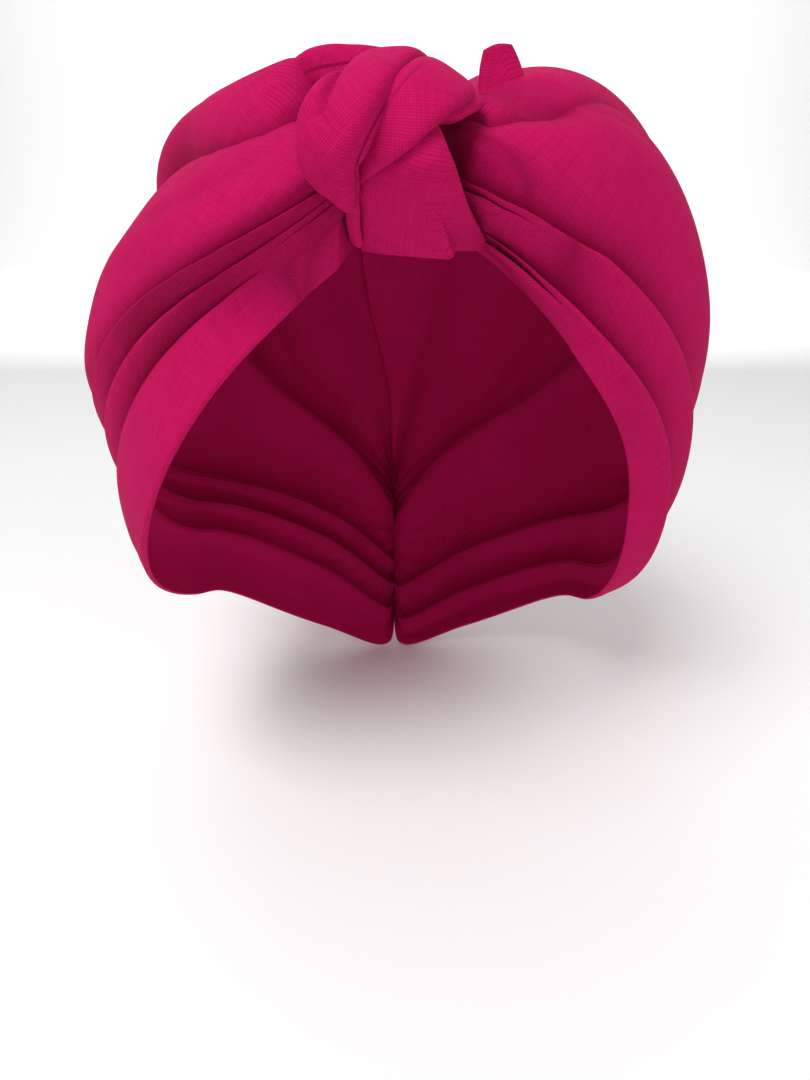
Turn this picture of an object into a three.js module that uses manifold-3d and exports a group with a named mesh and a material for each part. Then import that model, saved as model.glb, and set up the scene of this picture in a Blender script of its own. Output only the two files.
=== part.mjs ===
// A turban headwrap: two gathered wings of cloth that leave a knot over the forehead,
// run round the sides of the head and meet at the back, and the wound bands of the knot.
// Millimetres, +Z up, the face looks to -Y, and the origin is the middle of the head
// that the wrap is made for, at its widest level.

import * as THREE from 'three';
import Module from 'manifold-3d';

const wasm = await Module();
wasm.setup();

// The head: half its width and length, its height above and below the widest level
const HEAD_HALF_WIDTH = 78;
const HEAD_HALF_LENGTH = 98;
const CROWN_HEIGHT = 110;
const NAPE_DEPTH = 140;
const HEAD_ROUNDNESS = 2.25;

// The cloth
const PUFF = 40;          // how far the fullest fold stands off the head
const WALL = 1.8;         // folded and gathered cloth
const FLATTEST = 0.55;    // the steepest flank that the wall still allows for, as a cosine
const GAP = 0.3;          // clearance between pieces
const SLIVER = 0.02;      // edges that a cut leaves shorter than this are closed up

// The knot: its size, its height on the forehead and its place off the middle line
const KNOT_WIDTH = 38;
const KNOT_DEPTH = 30;
const KNOT_HEIGHT = 38;
const KNOT_ELEVATION = 62.4;
const KNOT_SEAT = 0.48;   // rise of the knot's centre above the head, as a share of PUFF
const KNOT_OFFSET = 4;
const TAB_THICKNESS = 2.4;

// The axis that the wings turn round: its elevation at the knot and how far it sinks by
// the nape, in degrees, and how far it lifts again over the last stretch
const KNOT_AXIS = 70;
const AXIS_FALL = 58;
const NAPE_LIFT = 12;

// Angles from the knot, in degrees, at which the fold tables are stated
const STATIONS = [10, 28, 60, 115, 145, 166];
const SEAM_START = 124;   // where the wings begin to draw in to the back seam
const NAPE_START = 115;
const ROW_EASE = 1.3;     // rows lie closer together near the knot
const FOLD_BULGE = 0.35;  // how far cloth swells as it leaves a crease
const STEEPEST = 0.3;     // least headway that a swelling fold keeps, as a share
const WING_ROWS = 34;
const STEPS_PER_FOLD = 2;

// Folds of a wing from its front edge to its lap over the crown. turn is the angle round
// the axis in degrees, 0 to the face and 180 over the crown, and rise the height of the
// outer face off the head as a share of PUFF, each at the six stations.
const LEFT_FOLDS = [
  { fold: 'edge', kind: 'edge', turn: [34, 58, 71, 76, 64, 4], rise: [0.055, 0.055, 0.055, 0.055, 0.06, 0.06] },
  { fold: 'band', kind: 'ridge', turn: [29, 66, 79, 83, 73, 16], rise: [0.25, 0.15, 0.15, 0.15, 0.15, 0.11] },
  { fold: 'band top', kind: 'ridge', turn: [24, 72, 87, 89, 80, 26], rise: [0.45, 0.21, 0.21, 0.19, 0.18, 0.15] },
  { fold: 'deep crease', kind: 'crease', turn: [21, 76, 92, 94, 86, 36], rise: [0.47, 0.17, 0.16, 0.14, 0.11, 0.08] },
  { fold: 'low rib', kind: 'ridge', turn: [19, 77, 96, 100, 93, 48], rise: [0.57, 0.33, 0.33, 0.31, 0.25, 0.19] },
  { fold: 'rib valley', kind: 'crease', turn: [19, 80, 98, 103, 98, 58], rise: [0.56, 0.29, 0.26, 0.22, 0.15, 0.09] },
  { fold: 'high rib', kind: 'ridge', turn: [20, 80, 101, 107, 103, 68], rise: [0.62, 0.46, 0.45, 0.38, 0.29, 0.21] },
  { fold: 'panel crease', kind: 'crease', turn: [22, 82, 102, 110, 108, 78], rise: [0.62, 0.43, 0.39, 0.30, 0.18, 0.10] },
  { fold: 'panel low', kind: 'ridge', turn: [24, 88, 106, 116, 116, 91], rise: [0.72, 0.55, 0.56, 0.49, 0.35, 0.22] },
  { fold: 'panel', kind: 'ridge', turn: [60, 106, 115, 127, 127, 107], rise: [0.76, 0.62, 0.59, 0.57, 0.40, 0.25] },
  { fold: 'top crease', kind: 'crease', turn: [92, 121, 131, 142, 141, 122], rise: [0.70, 0.56, 0.46, 0.40, 0.22, 0.11] },
  { fold: 'top', kind: 'ridge', turn: [104, 131, 141, 152, 152, 138], rise: [0.87, 0.79, 0.82, 0.61, 0.41, 0.27] },
  { fold: 'inner top', kind: 'ridge', turn: [130, 152, 159, 165, 165, 155], rise: [0.86, 0.75, 0.75, 0.55, 0.38, 0.24] },
  { fold: 'lap foot', kind: 'ridge', turn: [160, 170, 172, 174, 174, 170], rise: [0.53, 0.56, 0.58, 0.44, 0.30, 0.19] },
  { fold: 'lap', kind: 'edge', turn: [190, 188, 186, 186, 181, 179], rise: [0.53, 0.56, 0.58, 0.44, 0.28, 0.16] },
];
const RIGHT_FOLDS = [
  { fold: 'edge', kind: 'edge', turn: [84, 79, 87, 75, 64, 4], rise: [0.055, 0.055, 0.08, 0.12, 0.08, 0.06] },
  { fold: 'band', kind: 'ridge', turn: [68, 81, 90, 79, 72, 16], rise: [0.25, 0.20, 0.30, 0.30, 0.22, 0.12] },
  { fold: 'low crease', kind: 'crease', turn: [55, 84, 93, 84, 78, 28], rise: [0.37, 0.27, 0.35, 0.30, 0.19, 0.09] },
  { fold: 'rib', kind: 'ridge', turn: [42, 87, 97, 90, 86, 43], rise: [0.55, 0.45, 0.51, 0.43, 0.32, 0.21] },
  { fold: 'deep crease', kind: 'crease', turn: [34, 92, 101, 96, 93, 57], rise: [0.56, 0.47, 0.54, 0.44, 0.25, 0.11] },
  { fold: 'panel low', kind: 'ridge', turn: [46, 99, 105, 104, 103, 73], rise: [0.68, 0.70, 0.70, 0.55, 0.38, 0.22] },
  { fold: 'panel', kind: 'ridge', turn: [62, 110, 113, 117, 117, 92], rise: [0.72, 0.92, 0.84, 0.66, 0.42, 0.25] },
  { fold: 'top crease', kind: 'crease', turn: [80, 125, 129, 137, 135, 111], rise: [0.70, 0.93, 0.93, 0.60, 0.28, 0.11] },
  { fold: 'top', kind: 'ridge', turn: [102, 137, 142, 148, 148, 130], rise: [0.80, 0.97, 1.08, 0.72, 0.45, 0.27] },
  { fold: 'inner top', kind: 'ridge', turn: [130, 157, 160, 164, 163, 152], rise: [0.68, 0.76, 0.88, 0.60, 0.38, 0.22] },
  { fold: 'lap foot', kind: 'ridge', turn: [158, 170, 171, 173, 173, 169], rise: [0.50, 0.48, 0.50, 0.36, 0.22, 0.15] },
  { fold: 'lap', kind: 'edge', turn: [188, 186, 185, 185, 180, 179], rise: [0.40, 0.45, 0.47, 0.33, 0.19, 0.14] },
];

// Paths of the knot's bands. across, out and up are shares of KNOT_WIDTH, KNOT_DEPTH and
// KNOT_HEIGHT from the knot's centre, out being to the back, and half and thick the half
// width and half thickness as shares of KNOT_WIDTH.
const LEFT_LOBE = [
  { across: -0.28, out: -0.27, up: -0.20, half: 0.040, thick: 0.040 },
  { across: -0.31, out: -0.53, up: -0.11, half: 0.095, thick: 0.080 },
  { across: -0.36, out: -0.63, up: 0.03, half: 0.168, thick: 0.118 },
  { across: -0.33, out: -0.63, up: 0.18, half: 0.205, thick: 0.130 },
  { across: -0.24, out: -0.57, up: 0.32, half: 0.195, thick: 0.118 },
  { across: -0.12, out: -0.37, up: 0.44, half: 0.165, thick: 0.100 },
  { across: -0.02, out: -0.07, up: 0.51, half: 0.150, thick: 0.090 },
  { across: 0.05, out: 0.36, up: 0.50, half: 0.150, thick: 0.080 },
  { across: 0.06, out: 0.72, up: 0.40, half: 0.140, thick: 0.070 },
  { across: 0.05, out: 0.88, up: 0.26, half: 0.110, thick: 0.060 },
];
const MIDDLE_BAND = [
  { across: -0.27, out: -0.40, up: -0.09, half: 0.032, thick: 0.026 },
  { across: -0.17, out: -0.57, up: 0.04, half: 0.084, thick: 0.047 },
  { across: -0.03, out: -0.67, up: 0.18, half: 0.132, thick: 0.058 },
  { across: 0.10, out: -0.57, up: 0.32, half: 0.163, thick: 0.063 },
  { across: 0.22, out: -0.30, up: 0.41, half: 0.174, thick: 0.068 },
  { across: 0.29, out: 0.13, up: 0.43, half: 0.158, thick: 0.068 },
  { across: 0.30, out: 0.53, up: 0.36, half: 0.145, thick: 0.062 },
  { across: 0.27, out: 0.80, up: 0.24, half: 0.110, thick: 0.055 },
];
const UNDER_FOLD = [
  { across: 0.15, out: -0.40, up: 0.26, half: 0.042, thick: 0.032 },
  { across: 0.26, out: -0.33, up: 0.28, half: 0.068, thick: 0.042 },
  { across: 0.38, out: -0.13, up: 0.33, half: 0.063, thick: 0.042 },
  { across: 0.45, out: 0.13, up: 0.34, half: 0.042, thick: 0.037 },
];
const SIDE_STRIP = [
  { across: -0.26, out: -0.42, up: -0.08, half: 0.024, thick: 0.024 },
  { across: -0.26, out: -0.37, up: -0.20, half: 0.040, thick: 0.028 },
  { across: -0.27, out: -0.13, up: -0.31, half: 0.042, thick: 0.028 },
  { across: -0.26, out: 0.13, up: -0.43, half: 0.040, thick: 0.028 },
];
const TOP_FOLD = [
  { across: -0.61, out: 0.73, up: 0.46, half: 0.075, thick: 0.080 },
  { across: -0.54, out: 0.53, up: 0.51, half: 0.100, thick: 0.110 },
  { across: -0.41, out: 0.37, up: 0.53, half: 0.110, thick: 0.118 },
  { across: -0.26, out: 0.27, up: 0.52, half: 0.105, thick: 0.112 },
  { across: -0.11, out: 0.27, up: 0.51, half: 0.095, thick: 0.100 },
  { across: -0.02, out: 0.40, up: 0.46, half: 0.070, thick: 0.075 },
];
const TAIL_TIP = [
  { across: 0.60, out: 0.60, up: 0.26, half: 0.085, thick: 0.040 },
  { across: 0.61, out: 0.67, up: 0.36, half: 0.110, thick: 0.042 },
  { across: 0.61, out: 0.70, up: 0.47, half: 0.120, thick: 0.042 },
  { across: 0.60, out: 0.73, up: 0.57, half: 0.112, thick: 0.040 },
  { across: 0.59, out: 0.73, up: 0.63, half: 0.085, thick: 0.034 },
];
const TAIL_FACING = new THREE.Vector3(0.25, -1, 0.2).normalize();

// The flat tab over the knot's front, from its point down: the middle and half width of
// each section, in the same shares
const FRONT_TAB = [
  { across: 0.12, out: -0.50, up: 0.24, half: 0.030 },
  { across: 0.10, out: -0.61, up: 0.15, half: 0.100 },
  { across: 0.07, out: -0.65, up: 0.08, half: 0.162 },
  { across: 0.05, out: -0.65, up: 0.01, half: 0.220 },
  { across: 0.04, out: -0.57, up: -0.06, half: 0.267 },
  { across: 0.06, out: -0.40, up: -0.16, half: 0.296 },
  { across: 0.10, out: -0.18, up: -0.28, half: 0.324 },
  { across: 0.13, out: -0.02, up: -0.39, half: 0.356 },
  { across: 0.16, out: 0.07, up: -0.48, half: 0.371 },
];
const TAB_CURL = 0.3;     // how far the tab's sides turn back, as a share of its half width

// The windings under the knot
const CORE_WALL = 2;
const CORE_RINGS = 3;
const CORE_RISE = 0.32;        // in the middle, as a share of PUFF
const CORE_CLEARANCE = 0.3;    // degrees short of the wings
const CORE_FRONT = [-12, 0, 13, 26];  // turns of the front stretch, in degrees
const CORE_FRONT_REACH = 0.45;
const CORE_FRONT_RISE = 0.12;

const radians = THREE.MathUtils.degToRad;

// Slopes of a smooth curve through rows of numbers at rising places
function slopes(places, rows) {
  const last = rows.length - 1;
  return rows.map((row, i) => {
    const a = Math.max(i - 1, 0);
    const b = Math.min(i + 1, last);
    return row.map((_, k) => (rows[b][k] - rows[a][k]) / (places[b] - places[a]));
  });
}

// The curve's value at t: a cubic between the two places round t
function along(places, rows, tangents, t) {
  let i = 0;
  while (i < places.length - 2 && t > places[i + 1]) i += 1;
  const span = places[i + 1] - places[i];
  const s = (t - places[i]) / span;
  return rows[i].map((value, k) => cubic(
    s, value, span * tangents[i][k], rows[i + 1][k], span * tangents[i + 1][k]));
}

function cubic(s, start, leave, end, arrive) {
  const s2 = s * s;
  const s3 = s2 * s;
  return (2 * s3 - 3 * s2 + 1) * start + (s3 - 2 * s2 + s) * leave
    + (3 * s2 - 2 * s3) * end + (s3 - s2) * arrive;
}

// Distance from the origin to the head along a unit direction: level sections are
// ellipses, and upright ones are a little squarer than that
function headRadius(d) {
  const depth = d.z > 0 ? CROWN_HEIGHT : NAPE_DEPTH;
  const level = Math.hypot(d.x / HEAD_HALF_WIDTH, d.y / HEAD_HALF_LENGTH);
  const upright = Math.abs(d.z) / depth;
  return (level ** HEAD_ROUNDNESS + upright ** HEAD_ROUNDNESS) ** (-1 / HEAD_ROUNDNESS);
}

// Unit direction at an angle from the knot and a turn round the axis, which bends from
// the knot's elevation to the nape's as the angle grows
function wingDirection(angle, turn) {
  const lift = NAPE_LIFT * THREE.MathUtils.smoothstep(angle, NAPE_START, STATIONS.at(-1));
  const lean = radians(KNOT_AXIS - AXIS_FALL * angle / 180 + lift);
  const a = radians(angle);
  const t = radians(turn);
  const axis = new THREE.Vector3(0, -Math.cos(lean), Math.sin(lean));
  const face = new THREE.Vector3(0, -Math.sin(lean), -Math.cos(lean));
  return axis.multiplyScalar(Math.cos(a))
    .addScaledVector(face, Math.sin(a) * Math.cos(t))
    .setX(Math.sin(a) * Math.sin(t));
}

// The fold lines of a wing at one angle from the knot: turn and rise of each
function foldsAt(folds, angle) {
  const places = STATIONS.map((station) => Math.log(station));
  return folds.map(({ kind, turn, rise }) => {
    const rows = turn.map((value, i) => [value, rise[i] * PUFF]);
    const [lineTurn, lineRise] = along(places, rows, slopes(places, rows), Math.log(angle));
    return { kind, turn: lineTurn, rise: lineRise };
  });
}

// Cross-section of a wing over its fold lines: a chain of cubics in the plane of arc
// length and rise, smooth over ridges and broken at creases, where the cloth swells out
function crossSection(lines, angle) {
  const reach = (HEAD_HALF_LENGTH + PUFF / 2) * Math.sin(radians(angle));
  const points = lines.map((line) => [radians(line.turn) * reach, line.rise]);
  const chords = points.slice(1).map((p, i) => [p[0] - points[i][0], p[1] - points[i][1]]);
  const swell = (chord, side) => [
    Math.max(chord[0] - side * FOLD_BULGE * chord[1], chord[0] * STEEPEST),
    chord[1] + side * FOLD_BULGE * chord[0]];
  const leaving = (i) => {
    if (lines[i].kind === 'crease') return swell(chords[i], 1);
    if (lines[i].kind === 'edge') return chords[i];
    return mean(chords[i - 1], chords[i]);
  };
  const arriving = (i) => {
    if (lines[i].kind === 'crease') return swell(chords[i - 1], -1);
    if (lines[i].kind === 'edge') return chords[i - 1];
    return mean(chords[i - 1], chords[i]);
  };
  const section = [];
  chords.forEach((_, i) => {
    const leave = leaving(i);
    const arrive = arriving(i + 1);
    for (let step = 0; step < STEPS_PER_FOLD; step += 1) {
      const s = step / STEPS_PER_FOLD;
      section.push([0, 1].map((k) => cubic(
        s, points[i][k], leave[k], points[i + 1][k], arrive[k])));
    }
  });
  section.push(points[points.length - 1]);
  return section.map(([arc, rise]) => ({ turn: arc / reach / radians(1), rise }));
}

function mean(a, b) {
  return a.map((value, i) => (value + b[i]) / 2);
}

// A wing as rows of places on the head: the unit direction, the rise of the outer face
// and the clearance from the middle line. Towards the back the sideways reach shrinks to
// the seam on that line.
function wingPlaces(folds, side) {
  const rows = [];
  for (let row = 0; row <= WING_ROWS; row += 1) {
    const share = (row / WING_ROWS) ** ROW_EASE;
    const angle = THREE.MathUtils.lerp(STATIONS[0], STATIONS.at(-1), share);
    const draw = THREE.MathUtils.smoothstep(angle, SEAM_START, STATIONS.at(-1));
    rows.push(crossSection(foldsAt(folds, angle), angle).map(({ turn, rise }) => {
      const d = wingDirection(angle, side * turn);
      d.setX(d.x * (1 - draw)).normalize();
      return { d, rise, aside: side * draw * GAP / 2 };
    }));
  }
  return rows;
}

function standOff({ d, rise, aside }, sunk) {
  const point = d.clone().multiplyScalar(headRadius(d) + rise - sunk);
  return point.setX(point.x + aside);
}

// Unit normals of a grid of points
function gridNormals(grid) {
  const pick = (i, j) => grid[THREE.MathUtils.clamp(i, 0, grid.length - 1)][
    THREE.MathUtils.clamp(j, 0, grid[0].length - 1)];
  return grid.map((row, i) => row.map((_, j) => {
    const down = pick(i + 1, j).clone().sub(pick(i - 1, j)).normalize();
    const across = pick(i, j + 1).clone().sub(pick(i, j - 1)).normalize();
    return down.cross(across).normalize();
  }));
}

function offsetGrid(grid, distance) {
  const normals = gridNormals(grid);
  return grid.map((row, i) => row.map((point, j) => (
    point.clone().addScaledVector(normals[i][j], distance))));
}

// A closed wall between two grids of the same size
function wallBetween(outer, inner) {
  const rows = outer.length;
  const columns = outer[0].length;
  const points = [...outer.flat(), ...inner.flat()];
  const top = (i, j) => i * columns + j;
  const bottom = (i, j) => rows * columns + top(i, j);
  const triangles = [];
  const quad = (a, b, c, d) => triangles.push([a, b, c], [a, c, d]);
  for (let i = 0; i < rows - 1; i += 1) {
    for (let j = 0; j < columns - 1; j += 1) {
      quad(top(i, j), top(i + 1, j), top(i + 1, j + 1), top(i, j + 1));
      quad(bottom(i, j), bottom(i, j + 1), bottom(i + 1, j + 1), bottom(i + 1, j));
    }
    quad(top(i, 0), bottom(i, 0), bottom(i + 1, 0), top(i + 1, 0));
    quad(top(i + 1, columns - 1), bottom(i + 1, columns - 1),
      bottom(i, columns - 1), top(i, columns - 1));
  }
  for (let j = 0; j < columns - 1; j += 1) {
    quad(top(0, j + 1), bottom(0, j + 1), bottom(0, j), top(0, j));
    quad(top(rows - 1, j), bottom(rows - 1, j),
      bottom(rows - 1, j + 1), top(rows - 1, j + 1));
  }
  return solidOf(points, triangles);
}

// A solid from points and triangles, turned so that its faces point out
function solidOf(points, triangles) {
  const volume = triangles.reduce((sum, [a, b, c]) => sum
    + points[a].dot(points[b].clone().cross(points[c])), 0);
  const facing = volume > 0 ? triangles : triangles.map(([a, b, c]) => [a, c, b]);
  return new wasm.Manifold(new wasm.Mesh({
    numProp: 3,
    vertProperties: new Float32Array(points.flatMap((point) => point.toArray())),
    triVerts: new Uint32Array(facing.flat()),
  }));
}

// The wall is measured square to the cloth, so on a steep flank the inner face lies
// further down, yet never in the head
function wing(folds, side) {
  const places = wingPlaces(folds, side);
  const outer = places.map((row) => row.map((place) => standOff(place, 0)));
  const normals = gridNormals(outer);
  const inner = places.map((row, i) => row.map((place, j) => {
    const flatness = Math.max(Math.abs(normals[i][j].dot(place.d)), FLATTEST);
    return standOff(place, Math.min(WALL / flatness, place.rise - GAP));
  }));
  return wallBetween(outer, inner);
}

const knotCentre = new THREE.Vector3(
  0, -Math.cos(radians(KNOT_ELEVATION)), Math.sin(radians(KNOT_ELEVATION)));
knotCentre.multiplyScalar(headRadius(knotCentre) + KNOT_SEAT * PUFF).setX(KNOT_OFFSET);

function inKnot({ across, out, up }) {
  return new THREE.Vector3(across * KNOT_WIDTH, out * KNOT_DEPTH, up * KNOT_HEIGHT)
    .add(knotCentre);
}

// Rows of a knot table as numbers, smooth between them
function knotRows(table, steps) {
  const rows = table.map((row) => [
    ...inKnot(row).toArray(), row.half * KNOT_WIDTH, (row.thick ?? 0) * KNOT_WIDTH]);
  const places = rows.map((_, i) => i);
  const tangents = slopes(places, rows);
  return Array.from({ length: steps + 1 }, (_, i) => along(
    places, rows, tangents, i / steps * (rows.length - 1)));
}

// A wound band: an oval section carried along its path, its flat side to the knot's
// centre or turned to a direction of its own, with a point of cloth closing each end
function band(table, steps, sides, grow, facing = null) {
  const rows = knotRows(table, steps);
  const middles = rows.map((row) => new THREE.Vector3(row[0], row[1], row[2]));
  const points = [];
  rows.forEach((row, i) => {
    const ahead = middles[Math.min(i + 1, steps)].clone();
    const path = ahead.sub(middles[Math.max(i - 1, 0)]).normalize();
    const out = facing ? facing.clone() : middles[i].clone().sub(knotCentre);
    out.addScaledVector(path, -out.dot(path)).normalize();
    const across = path.clone().cross(out);
    for (let k = 0; k < sides; k += 1) {
      const turn = 2 * Math.PI * k / sides;
      points.push(middles[i].clone()
        .addScaledVector(across, (row[3] + grow) * Math.cos(turn))
        .addScaledVector(out, (row[4] + grow) * Math.sin(turn)));
    }
  });
  const tip = (at, from) => middles[at].clone().sub(middles[from]).normalize()
    .multiplyScalar(rows[at][4] / 2 + grow).add(middles[at]);
  points.push(tip(0, 1), tip(steps, steps - 1));
  const start = points.length - 2;
  const triangles = [];
  for (let k = 0; k < sides; k += 1) {
    const next = (k + 1) % sides;
    triangles.push([start, next, k], [start + 1, steps * sides + k, steps * sides + next]);
    for (let i = 0; i < steps; i += 1) {
      const a = i * sides + k;
      const b = i * sides + next;
      triangles.push([a, b, b + sides], [a, b + sides, a + sides]);
    }
  }
  return solidOf(points, triangles);
}

// The tab: a sheet across the knot's front whose sides turn back
function frontTab(steps, columns, grow) {
  const half = TAB_THICKNESS / 2 + grow;
  const face = knotRows(FRONT_TAB, steps).map((row) => Array.from(
    { length: columns + 1 }, (_, j) => {
      const share = 2 * j / columns - 1;
      const width = row[3] + grow;
      return new THREE.Vector3(
        row[0] + share * width, row[1] + TAB_CURL * width * (share ** 4 - 0.2), row[2]);
    }));
  if (grow > 0) {
    face[0].forEach((point) => point.setZ(point.z + grow));
    face.at(-1).forEach((point) => point.setZ(point.z - grow));
  }
  return wallBetween(offsetGrid(face, half), offsetGrid(face, -half));
}

// The hidden windings under the knot: a funnel of cloth inside the ring where the wings
// end, along their upper layers, and low in front where the tab covers it
function knotCore() {
  const end = STATIONS[0];
  const reach = end - CORE_CLEARANCE;
  const around = (folds, side) => crossSection(foldsAt(folds, end), end)
    .filter(({ turn }) => turn < 180 - CORE_CLEARANCE)
    .filter(({ turn }, k, section) => section.slice(k + 1).every((next) => next.turn > turn))
    .map(({ turn, rise }) => ({ angle: reach, turn: side * turn, rise }));
  const rim = [...around(LEFT_FOLDS, -1).reverse(), ...CORE_FRONT.map((turn) => ({
    angle: reach * CORE_FRONT_REACH, turn, rise: CORE_FRONT_RISE * PUFF })),
  ...around(RIGHT_FOLDS, 1)];
  const points = [];
  const at = (angle, turn, rise, sunk) => {
    const d = wingDirection(angle, turn);
    points.push(standOff({ d, rise, aside: 0 }, sunk));
  };
  for (const sunk of [0, CORE_WALL]) {
    for (let ring = 1; ring <= CORE_RINGS; ring += 1) {
      const share = ring / CORE_RINGS;
      rim.forEach(({ angle, turn, rise }) => at(angle * share, turn,
        THREE.MathUtils.lerp(CORE_RISE * PUFF, rise, share ** 2), sunk));
    }
    at(0, 0, CORE_RISE * PUFF, sunk);
  }
  const count = rim.length;
  const face = CORE_RINGS * count + 1;
  const triangles = [];
  rim.forEach((_, k) => {
    const next = (k + 1) % count;
    triangles.push([face - 1, k, next], [2 * face - 1, face + next, face + k]);
    for (let ring = 0; ring < CORE_RINGS - 1; ring += 1) {
      const a = ring * count + k;
      const b = ring * count + next;
      triangles.push([a, a + count, b + count], [a, b + count, b]);
      triangles.push([face + a, face + b + count, face + a + count],
        [face + a, face + b, face + b + count]);
    }
    const a = (CORE_RINGS - 1) * count + k;
    const b = (CORE_RINGS - 1) * count + next;
    triangles.push([a, face + a, face + b], [a, face + b, b]);
  });
  return solidOf(points, triangles);
}

// The largest body of a solid, less its cutters, with slivers left by the cuts closed up
function clearOf(solid, cutters) {
  const cut = cutters.reduce((rest, cutter) => rest.subtract(cutter), solid);
  const bodies = cut.simplify(SLIVER).decompose();
  return bodies.reduce((best, body) => (body.volume() > best.volume() ? body : best));
}

const makers = {
  knot_left_lobe: (grow) => band(LEFT_LOBE, 22, 14, grow),
  knot_middle_band: (grow) => band(MIDDLE_BAND, 18, 12, grow),
  knot_front_tab: (grow) => frontTab(12, 8, grow),
  knot_side_strip: (grow) => band(SIDE_STRIP, 8, 8, grow),
  knot_under_fold: (grow) => band(UNDER_FOLD, 8, 8, grow),
  knot_top_fold: (grow) => band(TOP_FOLD, 12, 10, grow),
  tail_tip: (grow) => band(TAIL_TIP, 10, 10, grow, TAIL_FACING),
};

// Each piece of the knot gives way to those named before it, and the wings and the
// windings under the knot give way to all of them
const solids = new Map();
const cutters = [];
for (const [name, make] of Object.entries(makers)) {
  solids.set(name, clearOf(make(0), cutters));
  cutters.push(make(GAP));
}
solids.set('left_wing', clearOf(wing(LEFT_FOLDS, -1), cutters));
solids.set('right_wing', clearOf(wing(RIGHT_FOLDS, 1), cutters));
solids.set('knot_core', clearOf(knotCore(), cutters));

const cloth = { color: 0xb3174f, roughness: 0.85, metalness: 0, side: THREE.FrontSide };
const headwrap = new THREE.Group();
headwrap.name = 'turban_headwrap';
for (const [name, solid] of solids) {
  const { vertProperties, triVerts } = solid.getMesh();
  const geometry = new THREE.BufferGeometry();
  geometry.setAttribute('position', new THREE.BufferAttribute(vertProperties, 3));
  geometry.setIndex(new THREE.BufferAttribute(triVerts, 1));
  geometry.computeVertexNormals();
  const mesh = new THREE.Mesh(geometry, new THREE.MeshStandardMaterial(cloth));
  mesh.name = name;
  headwrap.add(mesh);
}

export default headwrap;
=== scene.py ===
"""A turban headwrap of plain-weave cotton: two gathered wings and a wound knot.

Every surface is a grid of points worked out from a few tables of fold lines and band
paths. Lengths are metres, +Z is up, the face looks to -Y and the origin is the middle of
the head at its widest level.
"""

from __future__ import annotations

import logging
import math
from dataclasses import dataclass, field, replace
from enum import Enum
from typing import Optional

import bpy
import numpy as np
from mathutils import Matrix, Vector

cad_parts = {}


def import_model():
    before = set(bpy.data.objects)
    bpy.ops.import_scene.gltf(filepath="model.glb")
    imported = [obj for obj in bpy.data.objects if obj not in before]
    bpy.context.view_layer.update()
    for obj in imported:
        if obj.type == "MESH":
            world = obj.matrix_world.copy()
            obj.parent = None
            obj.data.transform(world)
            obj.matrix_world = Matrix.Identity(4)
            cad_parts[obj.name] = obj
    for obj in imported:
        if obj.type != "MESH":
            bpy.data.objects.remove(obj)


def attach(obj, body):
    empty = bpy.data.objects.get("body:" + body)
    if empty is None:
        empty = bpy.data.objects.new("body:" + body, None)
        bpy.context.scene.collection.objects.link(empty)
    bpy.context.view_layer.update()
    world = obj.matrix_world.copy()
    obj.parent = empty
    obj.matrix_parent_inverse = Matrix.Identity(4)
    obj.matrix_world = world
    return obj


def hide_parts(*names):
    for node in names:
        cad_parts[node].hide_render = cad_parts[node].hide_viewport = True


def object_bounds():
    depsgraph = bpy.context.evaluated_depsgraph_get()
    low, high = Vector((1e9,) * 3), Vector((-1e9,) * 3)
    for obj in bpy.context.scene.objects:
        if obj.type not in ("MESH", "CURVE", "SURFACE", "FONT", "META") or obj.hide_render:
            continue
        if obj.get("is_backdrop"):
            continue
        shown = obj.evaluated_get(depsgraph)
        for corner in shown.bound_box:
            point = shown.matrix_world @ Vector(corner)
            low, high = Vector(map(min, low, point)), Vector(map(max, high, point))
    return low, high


LOG = logging.getLogger("headwrap")
MM = 0.001
BODY = "root"
UV_NAME = "cloth"
# Name of the attribute that carries the painted shade into the cloth's colour
PAINTED_SHADE_NAME = "crease"
HALF_TURN = 180.0
FLOOR_GAP = 0.5 * MM

Row = tuple[float, ...]


# Curves


def cubic(
    s: np.ndarray, start: np.ndarray, leave: np.ndarray, end: np.ndarray, arrive: np.ndarray
) -> np.ndarray:
    """A cubic from start to end with the given slopes.

    Args:
        s: Place along the span, 0 to 1.
        start: Value at 0.
        leave: Slope at 0, per span.
        end: Value at 1.
        arrive: Slope at 1, per span.

    Returns:
        (2s3 - 3s2 + 1) start + (s3 - 2s2 + s) leave + (3s2 - 2s3) end + (s3 - s2) arrive.
    """
    s2 = s * s
    s3 = s2 * s
    return (
        (2 * s3 - 3 * s2 + 1) * start
        + (s3 - 2 * s2 + s) * leave
        + (3 * s2 - 2 * s3) * end
        + (s3 - s2) * arrive
    )


def smooth_step(value: np.ndarray, low: float, high: float) -> np.ndarray:
    """Rises from 0 at low to 1 at high as 3t2 - 2t3.

    Args:
        value: The numbers.
        low: Where the rise starts.
        high: Where it ends.

    Returns:
        The share, the same shape as value.
    """
    t = np.clip((value - low) / (high - low), 0.0, 1.0)
    return t * t * (3 - 2 * t)


def curve(places: np.ndarray, rows: np.ndarray, at: np.ndarray) -> np.ndarray:
    """A smooth curve through rows of numbers at rising places.

    Args:
        places: One place for each row.
        rows: Rows of numbers.
        at: Places to read the curve at.

    Returns:
        One row for each place in at. Slopes are (next row - row before) over the places
        between them.
    """
    last = len(places) - 1
    before = np.maximum(np.arange(last + 1) - 1, 0)
    after = np.minimum(np.arange(last + 1) + 1, last)
    slopes = (rows[after] - rows[before]) / (places[after] - places[before])[:, None]
    i = np.clip(np.searchsorted(places, at, side="right") - 1, 0, last - 1)
    span = (places[i + 1] - places[i])[:, None]
    s = (at - places[i])[:, None] / span
    return cubic(s, rows[i], span * slopes[i], rows[i + 1], span * slopes[i + 1])


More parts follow.
